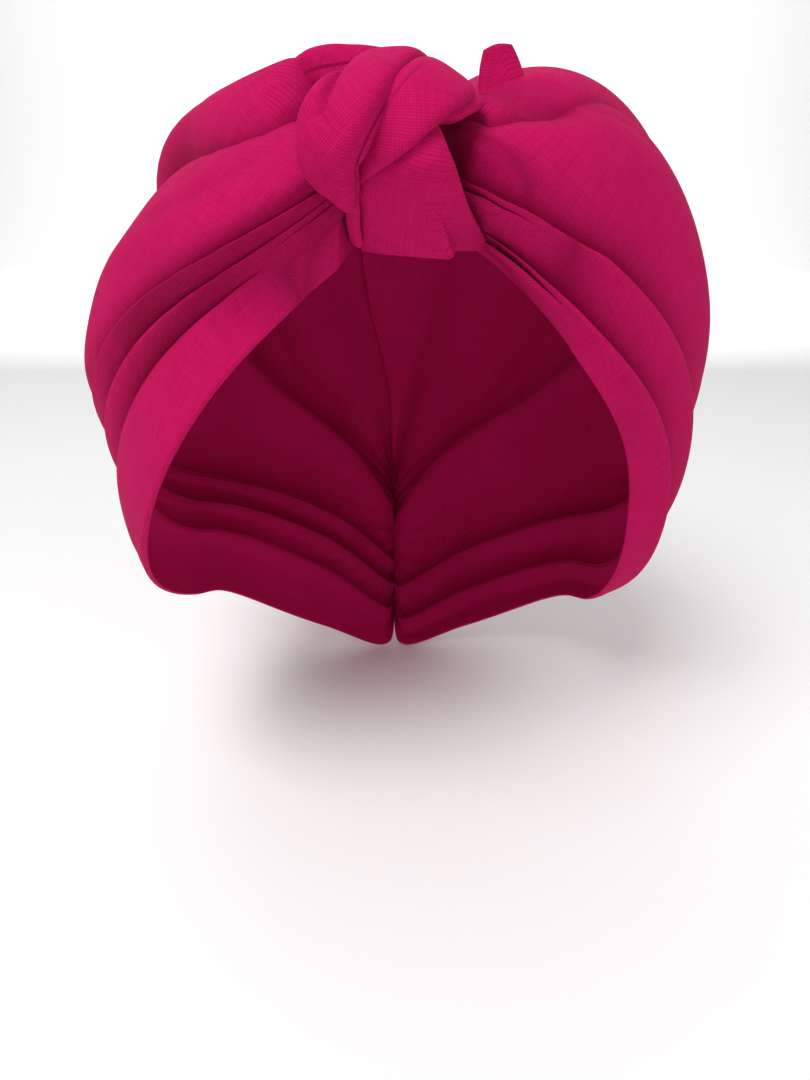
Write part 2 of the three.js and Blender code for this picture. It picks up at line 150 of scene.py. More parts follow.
def unit(vectors: np.ndarray) -> np.ndarray:
    """Vectors made one long.

    Args:
        vectors: Array whose last axis is x, y, z.

    Returns:
        The same array, each vector divided by its length.
    """
    return vectors / (np.linalg.norm(vectors, axis=-1, keepdims=True) + 1e-12)


def run_length(grid: np.ndarray, axis: int) -> np.ndarray:
    """Distance run along one axis of a grid of points.

    Args:
        grid: Points, rows by columns.
        axis: 0 to run down the columns, 1 to run along the rows.

    Returns:
        Rows by columns of length, 0 at the start.
    """
    steps = np.linalg.norm(np.diff(grid, axis=axis), axis=-1)
    start = np.zeros_like(steps[:1] if axis == 0 else steps[:, :1])
    return np.concatenate([start, np.cumsum(steps, axis=axis)], axis=axis)


def grid_normals(grid: np.ndarray) -> np.ndarray:
    """Unit normals of a grid of points, from the points on either side.

    Args:
        grid: Points, rows by columns.

    Returns:
        Normals, one for each point: (row below - row above) x (next - before).
    """
    down, along = np.gradient(grid, axis=(0, 1))
    return unit(np.cross(unit(down), unit(along)))


# The head and the chart that the wings are drawn in


@dataclass(frozen=True)
class HeadForm:
    """The head that the cloth lies on.

    Attributes:
        half_width: Half its width.
        half_length: Half its length.
        crown: Its height above the widest level.
        nape: Its depth below that level.
        roundness: Power of its upright sections, 2 for an ellipse.
    """

    half_width: float = 78 * MM
    half_length: float = 98 * MM
    crown: float = 110 * MM
    nape: float = 140 * MM
    roundness: float = 2.25

    def radius(self, d: np.ndarray) -> np.ndarray:
        """Distance to the head along unit directions.

        Args:
            d: Unit directions.

        Returns:
            (level^p + upright^p)^(-1/p), level being the ellipse of the level section.
        """
        depth = np.where(d[..., 2] > 0, self.crown, self.nape)
        level = np.hypot(d[..., 0] / self.half_width, d[..., 1] / self.half_length)
        upright = np.abs(d[..., 2]) / depth
        power = self.roundness
        return (level**power + upright**power) ** (-1 / power)

    def stand_off(self, d: np.ndarray, rise: np.ndarray) -> np.ndarray:
        """Points at a height over the head.

        Args:
            d: Unit directions.
            rise: Height off the head along each.

        Returns:
            Points: d (radius + rise).
        """
        return d * (self.radius(d) + rise)[..., None]


@dataclass(frozen=True)
class BentAxis:
    """The axis that the wings turn round, leaning back from the knot to the nape.

    Attributes:
        knot: Its elevation at the knot, in degrees.
        fall: How far it has sunk by half a turn from the knot.
        lift: How far it lifts again over the last stretch.
        lift_start: Angle from the knot where that begins.
        end: Angle from the knot where the wings end.
    """

    knot: float = 70
    fall: float = 58
    lift: float = 12
    lift_start: float = 115
    end: float = 166

    def direction(self, angle: np.ndarray, turn: np.ndarray) -> np.ndarray:
        """Unit directions.

        Args:
            angle: Angle from the knot in degrees.
            turn: Turn round the axis in degrees, 0 to the face.

        Returns:
            cos(angle) axis + sin(angle) (cos(turn) face + sin(turn) x).
        """
        lift = self.lift * smooth_step(angle, self.lift_start, self.end)
        lean = np.radians(self.knot - self.fall * angle / HALF_TURN + lift)
        a, t = np.radians(angle), np.radians(turn)
        forward = np.sin(a) * np.cos(t)
        x = np.sin(a) * np.sin(t)
        y = -np.cos(a) * np.cos(lean) - forward * np.sin(lean)
        z = np.cos(a) * np.sin(lean) - forward * np.cos(lean)
        return np.stack([x, y, z], axis=-1)


HEAD = HeadForm()
AXIS = BentAxis()


# Meshes


def placed(name: str, data: bpy.types.ID) -> bpy.types.Object:
    """Puts something in the scene.

    Args:
        name: Its name.
        data: Its mesh, light or camera.

    Returns:
        The object.
    """
    made = bpy.data.objects.new(name, data)
    bpy.context.scene.collection.objects.link(made)
    return made


@dataclass
class Patch:
    """A surface to be made into a mesh.

    Attributes:
        points: Corners.
        faces: Four corners of each face, the last two alike in a triangle.
        uv: Place in the cloth of each corner, in millimetres.
        crease: Painted shade of each corner, 0 to 1, from how deep in a crease it lies.
    """

    points: np.ndarray
    faces: np.ndarray
    uv: np.ndarray
    crease: np.ndarray

    def build(self, name: str, sharp: float) -> bpy.types.Object:
        """Makes the object.

        Args:
            name: The object's name.
            sharp: Angle in degrees over which an edge is drawn sharp.

        Returns:
            The object, linked to the scene.
        """
        mesh = bpy.data.meshes.new(name)
        corners = self.faces.shape[1]
        count = len(self.faces)
        mesh.vertices.add(len(self.points))
        mesh.vertices.foreach_set("co", self.points.astype(np.float32).ravel())
        mesh.loops.add(count * corners)
        mesh.loops.foreach_set("vertex_index", self.faces.astype(np.int32).ravel())
        mesh.polygons.add(count)
        starts = np.arange(count, dtype=np.int32) * corners
        mesh.polygons.foreach_set("loop_start", starts)
        mesh.polygons.foreach_set("use_smooth", np.ones(count, dtype=bool))
        layer = mesh.uv_layers.new(name=UV_NAME)
        layer.uv.foreach_set("vector", self.uv[self.faces.ravel()].astype(np.float32).ravel())
        # Painted shade: darkens the colour where the cloth lies in shade
        crease = mesh.attributes.new(PAINTED_SHADE_NAME, "FLOAT", "POINT")
        crease.data.foreach_set("value", self.crease.astype(np.float32))
        mesh.update(calc_edges=True)
        mesh.validate()
        mesh.set_sharp_from_angle(angle=math.radians(sharp))
        return placed(name, mesh)


def sleeve(loops: np.ndarray, uv: np.ndarray, crease: np.ndarray) -> Patch:
    """A closed body from closed loops of points, the first and last loop filled.

    Args:
        loops: Points, loops by places round each loop.
        uv: Place in the cloth of each point, in millimetres.
        crease: Painted shade of each point, from its depth in a crease.

    Returns:
        The patch, its faces turned out. Each end is filled by joining place k to the
        place as far from the loop's start on the other way round.
    """
    rows, around = loops.shape[:2]
    at = np.arange(rows * around).reshape(rows, around)
    beside = np.roll(at, -1, axis=1)
    wall = np.stack([at[:-1], at[1:], beside[1:], beside[:-1]], axis=-1).reshape(-1, 4)
    k = np.arange(around // 2 - 1)
    rung = np.stack([k, k + 1, around - 2 - k, around - 1 - k], axis=-1)
    caps = np.concatenate([at[0][rung], at[-1][rung][:, ::-1]])
    faces = np.concatenate([wall, caps])
    points = loops.reshape(-1, 3)
    a, b, c, d = (points[faces[:, i]] for i in range(4))
    volume = np.einsum("ij,ij->", a, np.cross(b, c)) + np.einsum("ij,ij->", a, np.cross(c, d))
    if volume < 0:
        faces = faces[:, ::-1]
    return Patch(points, faces, uv.reshape(-1, 2), crease.ravel())


def rounded_edge(
    start: np.ndarray, end: np.ndarray, inside: np.ndarray, steps: int
) -> np.ndarray:
    """Points round an edge of cloth.

    Args:
        start: Points where the edge begins.
        end: Points where it ends.
        inside: Points in the middle of the cloth beside it.
        steps: Points on the edge.

    Returns:
        Half an oval: middle + cos(t) half the wall + sin(t) bulge.
    """
    t = np.linspace(0, math.pi, steps + 2)[1:-1]
    middle = (start + end) / 2
    half = (start - end) / 2
    bulge = unit(middle - inside) * np.linalg.norm(half, axis=-1, keepdims=True)
    return (
        middle[:, None]
        + np.cos(t)[None, :, None] * half[:, None]
        + np.sin(t)[None, :, None] * bulge[:, None]
    )


def rounded_wall(outer: np.ndarray, inner: np.ndarray, steps: int) -> np.ndarray:
    """Closed loops round a wall of cloth, its two long edges rounded.

    Args:
        outer: Points of the outer face, rows by columns.
        inner: Points of the inner face.
        steps: Points on each rounded edge.

    Returns:
        Loops: outer face, far edge, inner face backwards, near edge.
    """
    middle = (outer + inner) / 2
    far = rounded_edge(outer[:, -1], inner[:, -1], middle[:, -2], steps)
    near = rounded_edge(inner[:, 0], outer[:, 0], middle[:, 1], steps)
    return np.concatenate([outer, far, inner[:, ::-1], near], axis=1)


def wall_across(loops: np.ndarray, start: int, steps: int) -> np.ndarray:
    """Distance across the cloth round the loops of rounded_wall.

    Args:
        loops: The loops.
        start: Column of the outer face that it is measured from.
        steps: Points on each rounded edge.

    Returns:
        Rows by places of length, running on round the far edge and below the start's on
        the near one.
    """
    run = run_length(loops, 1)
    last = np.linalg.norm(loops[:, 0] - loops[:, -1], axis=-1)
    run[:, -steps:] -= run[:, -1:] + last[:, None]
    return run - run[:, start : start + 1]


def wall_values(outer: np.ndarray, steps: int) -> np.ndarray:
    """Spreads values of the outer face over the loops of rounded_wall.

    Args:
        outer: Values, rows by columns, with or without a last axis.
        steps: Points on each rounded edge.

    Returns:
        The values round each loop.
    """
    far = np.repeat(outer[:, -1:], steps, axis=1)
    near = np.repeat(outer[:, :1], steps, axis=1)
    return np.concatenate([outer, far, outer[:, ::-1], near], axis=1)


# The wings


class FoldKind(Enum):
    """How a fold line bends the cloth."""

    EDGE = "edge"
    RIDGE = "ridge"
    CREASE = "crease"


@dataclass(frozen=True)
class Fold:
    """One line that a wing's cross-section passes through.

    Attributes:
        kind: How the cloth bends there.
        turn: Turn round the axis at each station, in degrees.
        rise: Height over the head at each station, as a share of the puff.
    """

    kind: FoldKind
    turn: Row
    rise: Row


@dataclass(frozen=True)
class Wrinkle:
    """A soft crease or ridge laid over a wing.

    Attributes:
        start: Angle from the knot and turn where it begins, in degrees.
        end: The same where it ends.
        bow: How far its middle is turned off the straight line, in degrees.
        height: Height of the ridge, negative for a crease, in millimetres.
        width: Half its width in millimetres.
        blunt: 1 for a sharp crest, 2 for a round one.
        fade: Power with which it runs out at its ends.
    """

    start: tuple[float, float]
    end: tuple[float, float]
    bow: float
    height: float
    width: float
    blunt: float = 1.4
    fade: float = 0.7

    def raised(self, angle: np.ndarray, turn: np.ndarray, arc: np.ndarray) -> np.ndarray:
        """How far it raises the cloth.

        Args:
            angle: Angle from the knot.
            turn: Turn round the axis.
            arc: Arc length in millimetres of one degree of turn.

        Returns:
            height sin(pi t)^fade exp(-(distance / width)^blunt), t running along it.
        """
        t = np.clip((angle - self.start[0]) / (self.end[0] - self.start[0]), 0, 1)
        swing = np.sin(math.pi * t)
        middle = self.start[1] + (self.end[1] - self.start[1]) * t + self.bow * swing
        distance = np.abs(turn - middle) * arc
        fade = np.maximum(swing, 0) ** self.fade
        return self.height * fade * np.exp(-((distance / self.width) ** self.blunt))


@dataclass(frozen=True)
class Pleats:
    """Fine gathers where the cloth is drawn together.

    Attributes:
        count: Pleats across half a turn.
        height: Height of each in millimetres.
        near: Angle from the knot where they are fullest.
        far: Angle from the knot where they have run out.
        wander: How far they sway, in degrees of turn.
        sway: Radians of that sway for a degree of angle and of turn.
        finer: How many finer gathers go to one of them.
        finer_height: Height of these as a share of the others.
        finer_shift: How far these are shifted, in radians.
    """

    count: float
    height: float
    near: float
    far: float
    wander: float
    sway: tuple[float, float] = (0.11, 0.05)
    finer: float = 1.7
    finer_height: float = 0.5
    finer_shift: float = 0.8

    def raised(self, angle: np.ndarray, turn: np.ndarray) -> np.ndarray:
        """How far they raise the cloth.

        Args:
            angle: Angle from the knot.
            turn: Turn round the axis.

        Returns:
            height fade (cos(n turn') + low cos(finer n turn' + shift)) / (1 + low), low
            being the finer ones' height and turn' the turn swaying slowly.
        """
        fade = 1 - smooth_step(np.abs(angle - self.near), 0, abs(self.far - self.near))
        sway = self.wander * np.sin(angle * self.sway[0] + turn * self.sway[1])
        phase = np.radians((turn + sway) * 2 * self.count)
        fine = self.finer_height * np.cos(self.finer * phase + self.finer_shift)
        return self.height * fade * (np.cos(phase) + fine) / (1 + self.finer_height)


@dataclass(frozen=True)
class Sheet:
    """How a piece of cloth was cut and how it is held.

    Attributes:
        flat: Width and length before it was gathered, in metres.
        held: How it is held.
        rests_on: Names of the pieces it lies on.
    """

    flat: tuple[float, float]
    held: str
    rests_on: tuple[str, ...] = ()


@dataclass
class Piece:
    """A piece of the headwrap.

    Attributes:
        name: Its name, which is also the name of the solid it stands for.
        sheet: Its cut.
        sharp: Angle in degrees over which an edge is drawn sharp.
        grain: Angle of its threads to its length, in degrees.
    """

    name: str
    sheet: Sheet
    sharp: float = 40.0
    grain: float = 38.0

    def patch(self) -> Patch:
        """The piece's surface.

        Returns:
            The patch.
        """
        raise NotImplementedError

    def build(self, finish: bpy.types.Material) -> bpy.types.Object:
        """Makes the piece, puts it in the frame and gives it its cloth.

        Args:
            finish: The material.

        Returns:
            The object.
        """
        patch = self.patch()
        c, s = math.cos(math.radians(self.grain)), math.sin(math.radians(self.grain))
        patch.uv = patch.uv @ np.array([[c, s], [-s, c]])
        made = patch.build(f"{self.name}_cloth", self.sharp)
        made.data.materials.append(finish)
        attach(made, BODY)
        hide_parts(self.name)
        size = patch.points.max(axis=0) - patch.points.min(axis=0)
        LOG.info(
            "%s: %d points, %d faces, %s mm",
            self.name,
            len(patch.points),
            len(patch.faces),
            " x ".join(f"{side / MM:.0f}" for side in size),
        )
        return made


@dataclass
class Wing(Piece):
    """Half of the wrap: the cloth from the knot round one side of the head to the back.

    Attributes:
        side: -1 for the viewer's left, 1 for the right.
        folds: Its fold lines, from the front edge to the lap over the crown.
        wrinkles: Creases and ridges laid over them.
        pleats: Gathers at the knot and at the seam.
        centre: The fold line that the weave is measured from.
        tuck: Angle from the knot at which the cloth has tucked in under it.
        tuck_rise: Its rise there, as a share of the puff.
        tuck_ease: Power with which its lower folds sink in.
        roll: Power of the oval by which its upper folds roll in.
        roll_turns: Turns over which the folds pass from sinking to rolling.
        stations: Angles from the knot at which the folds are stated.
        puff: Height that a rise of 1 stands for.
        wall: Thickness of the gathered cloth.
        flattest: Cosine of the steepest flank that the wall allows for.
        bulge: How far the cloth swells as it leaves a crease.
        steepest: Least headway that a swelling fold keeps.
        seam_start: Angle where the wing begins to draw in to the back seam.
        seam_gap: Its distance from the middle line at the seam, negative to overlap.
        row_ease: Power that brings rows together near the knot.
        rows: Rows of points from the knot to the seam.
        steps: Points on each span between two folds.
        rim: Points round each edge.
        shade: How far the painted shade of a crease reaches.
        dusk: Degrees over which painted shade darkens the cloth as it tucks in under the
            knot.
        clear: Least height of the cloth over the head.
        dark_at: Depth in millimetres at which a wrinkle's painted shade would be as dark as a
            crease's.
        darkest: Most painted shade that a wrinkle gets.
        edge_calm: Millimetres from the front edge where detail starts and is full.
        lap_calm: The same from the lap over the crown.
    """

    side: int = 1
    folds: tuple[Fold, ...] = ()
    wrinkles: tuple[Wrinkle, ...] = ()
    pleats: tuple[Pleats, ...] = ()
    centre: int = 6
    tuck: float = 4.5
    tuck_rise: float = 0.38
    tuck_ease: float = 1.6
    roll: float = 2.5
    roll_turns: tuple[float, float] = (25, 60)
    stations: Row = (10, 28, 60, 115, 145, 166)
    puff: float = 40 * MM
    wall: float = 1.8 * MM
    flattest: float = 0.55
    bulge: float = 0.35
    steepest: float = 0.3
    seam_start: float = 124
    seam_gap: float = -0.02 * MM
    row_ease: float = 1.3
    rows: int = 250
    steps: int = 12
    rim: int = 4
    shade: float = 1.3 * MM
    dusk: float = 4.5
    clear: float = 0.3 * MM
    dark_at: float = 3.0
    darkest: float = 0.8
    edge_calm: tuple[float, float] = (2, 9)
    lap_calm: tuple[float, float] = (1, 8)

    def turn_radius(self) -> float:
        """Radius on which a turn is measured where the cloth lies at its widest."""
        return HEAD.half_length + self.puff / 2

    def lines(self, angle: np.ndarray) -> tuple[np.ndarray, np.ndarray]:
        """The fold lines at each angle.

        Args:
            angle: Angles from the knot, one for each row.

        Returns:
            Turn in degrees and rise in metres, rows by folds. Inside the first station the
            turn stays and rise = low + (rise - low) f(angle / first), low being the tuck's
            rise or the fold's own where that is lower. Upper folds roll in, with
            f = (1 - g^roll)^(1 / roll), g rising to 1 at the tuck, and lower ones sink,
            with f = share^ease.
        """
        places = np.log(np.array(self.stations, dtype=float))
        turn = np.array([fold.turn for fold in self.folds], dtype=float).T
        rise = np.array([fold.rise for fold in self.folds], dtype=float).T * self.puff
        at = np.log(np.maximum(angle, self.stations[0]))
        turns, rises = curve(places, turn, at), curve(places, rise, at)
        share = np.minimum(angle / self.stations[0], 1)[:, None]
        inward = (1 - share) / (1 - self.tuck / self.stations[0])
        rolled = np.maximum(1 - inward**self.roll, 0) ** (1 / self.roll)
        upper = smooth_step(turns, *self.roll_turns)
        height = upper * rolled + (1 - upper) * share**self.tuck_ease
        low = np.minimum(self.tuck_rise * self.puff, rises)
        return turns, low + (rises - low) * height

    def section(self, angle: np.ndarray) -> tuple[np.ndarray, np.ndarray, np.ndarray]:
        """Cross-sections over the fold lines: chains of cubics in arc length and rise.

        Args:
            angle: Angles from the knot, one for each row.

        Returns:
            Turn, rise and depth in a crease for the painted shade, rows by columns. A cubic
            leaves a ridge along the mean of the chords beside it and a crease swung off its
            own chord.
        """
        turn, rise = self.lines(angle)
        reach = self.turn_radius() * np.sin(np.radians(angle))[:, None]
        points = np.stack([np.radians(turn) * reach, rise], axis=-1)
        chords = np.diff(points, axis=1)
        kinds = [fold.kind for fold in self.folds]
        leave, arrive = chords.copy(), chords.copy()
        for k, kind in enumerate(kinds):
            if kind is FoldKind.CREASE:
                leave[:, k] = self.swelling(chords[:, k], 1)
                arrive[:, k - 1] = self.swelling(chords[:, k - 1], -1)
            elif kind is FoldKind.RIDGE:
                leave[:, k] = (chords[:, k - 1] + chords[:, k]) / 2
                arrive[:, k - 1] = leave[:, k]
        s = (np.arange(self.steps) / self.steps)[None, None, :, None]
        spans = cubic(
            s,
            points[:, :-1, None],
            leave[:, :, None],
            points[:, 1:, None],
            arrive[:, :, None],
        )
        chain = spans.reshape(len(angle), -1, 2)
        chain = np.concatenate([chain, points[:, -1:]], axis=1)
        # Painted shade: darker near each crease line
        creases = [k for k, kind in enumerate(kinds) if kind is FoldKind.CREASE]
        distance = np.abs(chain[:, :, None, 0] - points[:, None, creases, 0]).min(axis=2)
        depth = np.exp(-distance / self.shade)
        return np.degrees(chain[..., 0] / reach), chain[..., 1], depth

    def swelling(self, chord: np.ndarray, way: int) -> np.ndarray:
        """The slope with which cloth leaves or meets a crease.

        Args:
            chord: Chords of the spans, arc length and rise.
            way: 1 to leave the crease, -1 to meet it.

        Returns:
            The chord swung outward, never standing steeper than its headway allows.
        """
        headway = np.maximum(
            chord[:, 0] - way * self.bulge * chord[:, 1], chord[:, 0] * self.steepest
        )
        return np.stack([headway, chord[:, 1] + way * self.bulge * chord[:, 0]], axis=-1)

    def detail(self, angle: np.ndarray, turn: np.ndarray) -> tuple[np.ndarray, np.ndarray]:
        """Wrinkles and pleats over the folds.

        Args:
            angle: Angle from the knot, rows by columns.
            turn: Turn round the axis.

        Returns:
            Height to add in metres, and painted shade in the wrinkles' creases.
        """
        arc = np.radians(self.turn_radius() / MM * np.sin(np.radians(angle)))
        raised = np.zeros_like(turn)
        depth = np.zeros_like(turn)
        for wrinkle in self.wrinkles:
            height = wrinkle.raised(angle, turn, arc)
            raised += height
            # Painted shade in a sunken wrinkle
            depth += np.clip(-height / self.dark_at, 0, self.darkest)
        for pleats in self.pleats:
            raised += pleats.raised(angle, turn)
        edge = smooth_step(np.abs(turn - turn[:, :1]) * arc, *self.edge_calm)
        lap = smooth_step(np.abs(turn - turn[:, -1:]) * arc, *self.lap_calm)
        return raised * edge * lap * MM, depth

    def patch(self) -> Patch:
        """The wing's wall.

        Returns:
            The patch. Outer face: head + rise + detail along each direction. Inner face:
            lower by the wall over the cosine of the flank, yet never in the head.
        """
        share = (np.arange(self.rows + 1) / self.rows) ** self.row_ease
        angle = self.tuck + (self.stations[-1] - self.tuck) * share
        turn, rise, depth = self.section(angle)
        angles = np.broadcast_to(angle[:, None], turn.shape)
        draw = smooth_step(angles, self.seam_start, self.stations[-1])
        added, more = self.detail(angles, turn)
        rise = np.maximum(rise + added, self.wall + self.clear)
        d = AXIS.direction(angles, self.side * turn)
        d[..., 0] *= 1 - draw
        d = unit(d)
        aside = self.side * draw * self.seam_gap
        outer = HEAD.stand_off(d, rise)
        flat = np.abs(np.sum(grid_normals(outer) * d, axis=-1))
        sunk = np.minimum(self.wall / np.maximum(flat, self.flattest), rise - self.clear)
        inner = HEAD.stand_off(d, rise - sunk)
        outer[..., 0] += aside
        inner[..., 0] += aside
        loops = rounded_wall(outer, inner, self.rim)
        along = wall_values(run_length(outer, 0), self.rim)
        across = wall_across(loops, self.centre * self.steps, self.rim)
        uv = np.stack([along, across], axis=-1) / MM
        # Painted shade where the cloth tucks in under the knot, added to the crease and
        # wrinkle shade
        under = 1 - smooth_step(angles, self.tuck, self.tuck + self.dusk)
        crease = wall_values(np.clip(depth + more + under, 0, 1), self.rim)
        return sleeve(loops, uv, crease)


# The knot


@dataclass(frozen=True)
class KnotFrame:
    """Where the knot sits and how large it is.

    Attributes:
        width: Its width.
        depth: Its depth from front to back.
        height: Its height.
        elevation: Its elevation as seen from the middle of the head, in degrees.
        seat: Height of its centre over the head.
        offset: Its distance from the middle line.
    """

    width: float = 38 * MM
    depth: float = 30 * MM
    height: float = 38 * MM
    elevation: float = 62.4
    seat: float = 19.2 * MM
    offset: float = 4 * MM

    def centre(self) -> np.ndarray:
        """The knot's centre.

        Returns:
            The point.
        """
        lean = math.radians(self.elevation)
        d = np.array([0.0, -math.cos(lean), math.sin(lean)])
        centre = HEAD.stand_off(d, np.array(self.seat))
        centre[0] = self.offset
        return centre

    def rows(self, table: tuple[Row, ...], steps: int) -> np.ndarray:
        """A knot table in metres, smooth between its rows.

        Args:
            table: Rows of across, out, up, half width and half thickness.
            steps: Steps to cut it into.

        Returns:
            Rows of x, y, z, half width and half thickness.
        """
        scale = np.array([self.width, self.depth, self.height, self.width, self.width])
        rows = np.array(table, dtype=float) * scale
        rows[:, :3] += self.centre()
        places = np.arange(len(rows), dtype=float)
        return curve(places, rows, np.linspace(0, len(rows) - 1, steps + 1))


KNOT = KnotFrame()


@dataclass(frozen=True)
class Groove:
    """A fold that runs along a band.

    Attributes:
        place: Where it lies across the band's outer face, -1 to 1.
        shift: How far it moves across from one end to the other.
        depth: Its depth as a share of the band's half thickness, negative for a ridge.
        width: Half its width as a share of the band's half width.
        start: Where along the band it begins, 0 to 1.
        end: Where it ends.
        fade: Power with which it runs out at its ends.
        blunt: 1 for a sharp bottom, 2 for a round one.
    """

    place: float
    shift: float
    depth: float
    width: float
    start: float = 0.0
    end: float = 1.0
    fade: float = 0.5
    blunt: float = 1.5

    def cut(self, along: np.ndarray, across: np.ndarray) -> np.ndarray:
        """Its depth over the band.

        Args:
            along: Place along the band, 0 to 1.
            across: Place across it, -1 to 1.

        Returns:
            depth sin(pi t)^fade exp(-(|distance| / width)^blunt), t running along it.
        """
        middle = self.place + self.shift * (along - 0.5)
        span = self.end - self.start
        t = np.clip((along - self.start) / span, 0, 1)
        window = np.sin(math.pi * t) ** self.fade
        distance = np.abs(across - middle) / self.width
        return self.depth * window * np.exp(-(distance**self.blunt))


@dataclass
class Band(Piece):
    """A wound band of cloth: a flattened oval section carried along its path.

    Attributes:
        table: Its path.
        grooves: Folds that run along it.
        power: Power of its section, 2 for an oval and more for a flatter one.
        facing: Direction its flat side looks to, or nothing for out from the knot.
        steps: Steps along the path.
        sides: Points round the section.
        puckers: Height of small cross puckers, as a share of the half thickness.
        pucker_run: Radians of the puckers from one end to the other.
        pucker_slant: Radians of the puckers from the middle to a side.
        closing: How soon its ends close, as one over the length that takes.
        hem: Square of the share of its section that is left at the ends.
        shade: How dark the painted shade in its grooves is.
    """

    table: tuple[Row, ...] = ()
    grooves: tuple[Groove, ...] = ()
    power: float = 3.2
    facing: Optional[Row] = None
    steps: int = 150
    sides: int = 120
    puckers: float = 0.02
    pucker_run: float = 38
    pucker_slant: float = 3
    closing: float = 22
    hem: float = 0.02
    shade: float = 0.8

    def patch(self) -> Patch:
        """The band's skin.

        Returns:
            The patch. A section point is middle + half |cos|^(2/p) across
            + thick |sin|^(2/p) out, less the grooves; its ends close to a hem's width.
        """
        rows = KNOT.rows(self.table, self.steps)
        middle = rows[:, :3]
        path = unit(np.gradient(middle, axis=0))
        if self.facing is None:
            out = middle - KNOT.centre()
        else:
            out = np.broadcast_to(np.array(self.facing, dtype=float), middle.shape)
        out = unit(out - np.sum(out * path, axis=-1, keepdims=True) * path)
        across = np.cross(path, out)
        turn = 2 * math.pi * np.arange(self.sides) / self.sides
        bend = 2 / self.power
        wide = np.sign(np.cos(turn)) * np.abs(np.cos(turn)) ** bend
        thick = np.sign(np.sin(turn)) * np.abs(np.sin(turn)) ** bend
        along = np.linspace(0, 1, self.steps + 1)[:, None]
        cut = np.zeros((self.steps + 1, self.sides))
        for groove in self.grooves:
            cut += groove.cut(along, wide[None, :]) * (thick[None, :] > 0)
        pucker = np.sin(along * self.pucker_run + self.pucker_slant * wide[None, :])
        pucker = self.puckers * pucker * wide[None, :] ** 2
        close = np.minimum(along, 1 - along) * self.closing
        close = np.sqrt(np.clip(close, self.hem, 1))
        half = rows[:, 3:4] * close
        deep = rows[:, 4:5] * close
        lift = deep * (thick[None, :] * (1 + pucker) - cut * np.abs(thick[None, :]))
        loops = (
            middle[:, None]
            + (half * wide[None, :])[..., None] * across[:, None]
            + lift[..., None] * out[:, None]
        )
        uv = np.stack([run_length(loops, 0), run_length(loops, 1)], axis=-1) / MM
        # The grooves carry painted shade
        return sleeve(loops, uv, np.clip(cut, 0, 1) * self.shade)


@dataclass
class Tab(Piece):
    """The flat tab of cloth over the knot's front.

    Attributes:
        table: The middle and half width of its sections, from the point down.
        wall: Its thickness.
        curl: How far its sides turn back, as a share of its half width.
        level: Share of the curl by which its middle stands forward.
        under: How far its second layer lies back.
        notch: How much shorter that layer is.
        layer_across: Where across the tab that layer begins and is whole, -1 to 1.
        layer_down: Where down the tab it begins and is whole, 0 to 1.
        layer_shade: How much painted shade darkens that turned-under layer.
        step: Where across the tab its edge lies.
        step_width: Half the width of the painted shade along that edge.
        step_shade: How dark that painted shade is.
        sink: How far its upper left lies back under the middle band.
        sink_across: Where across the tab, to the left, it begins and is full.
        sink_down: Where down the tab it begins to end and has ended.
        slope: How far its lower edge falls from its middle to its right.
        steps: Rows from its point to its lower edge.
        columns: Points across.
        rim: Points round each side edge.
    """

    table: tuple[Row, ...] = ()
    wall: float = 2.4 * MM
    curl: float = 0.3
    level: float = 0.2
    under: float = 0.9 * MM
    notch: float = 1.9 * MM
    layer_across: tuple[float, float] = (0.38, 0.42)
    layer_down: tuple[float, float] = (0.55, 0.95)
    layer_shade: float = 0.45
    step: float = 0.4
    step_width: float = 0.03
    step_shade: float = 0.4
    sink: float = 2.6 * MM
    sink_across: tuple[float, float] = (-0.1, 0.75)
    sink_down: tuple[float, float] = (0.35, 0.65)
    slope: float = 1.1 * MM
    steps: int = 120
    columns: int = 110
    rim: int = 6

    def patch(self) -> Patch:
        """The tab's wall.

        Returns:
            The patch. Face: x = middle + s w, y = middle + curl w (s^4 - level); s runs
            from -1 to 1 and w is the half width. Its upper left sinks under the middle
            band, and its right side is a second layer, turned under.
        """
        rows = KNOT.rows(self.table, self.steps)
        s = np.linspace(-1, 1, self.columns + 1)[None, :]
        down = np.linspace(0, 1, self.steps + 1)[:, None]
        half = rows[:, 3:4]
        x = rows[:, 0:1] + s * half
        y = rows[:, 1:2] + self.curl * half * (s**4 - self.level)
        layer = smooth_step(s, *self.layer_across) * smooth_step(down, *self.layer_down)
        tucked = smooth_step(-s, *self.sink_across) * (1 - smooth_step(down, *self.sink_down))
        y = y + self.under * layer + self.sink * tucked
        z = rows[:, 2:3] + (self.notch * layer - self.slope * s * down) * down
        face = np.stack([x, y, z], axis=-1)
        normals = grid_normals(face)
        normals = normals * np.where(normals[..., 1:2] < 0, 1, -1)
        outer = face + normals * self.wall / 2
        inner = face - normals * self.wall / 2
        loops = rounded_wall(outer, inner, self.rim)
        uv = np.stack([run_length(face, 0), run_length(face, 1)], axis=-1) / MM
        # Painted shade on the turned-under second layer and along its edge
        step = self.step_shade * np.exp(-(((s - self.step) / self.step_width) ** 2))
        crease = (self.layer_shade + step) * layer
        return sleeve(loops, wall_values(uv, self.rim), wall_values(crease, self.rim))


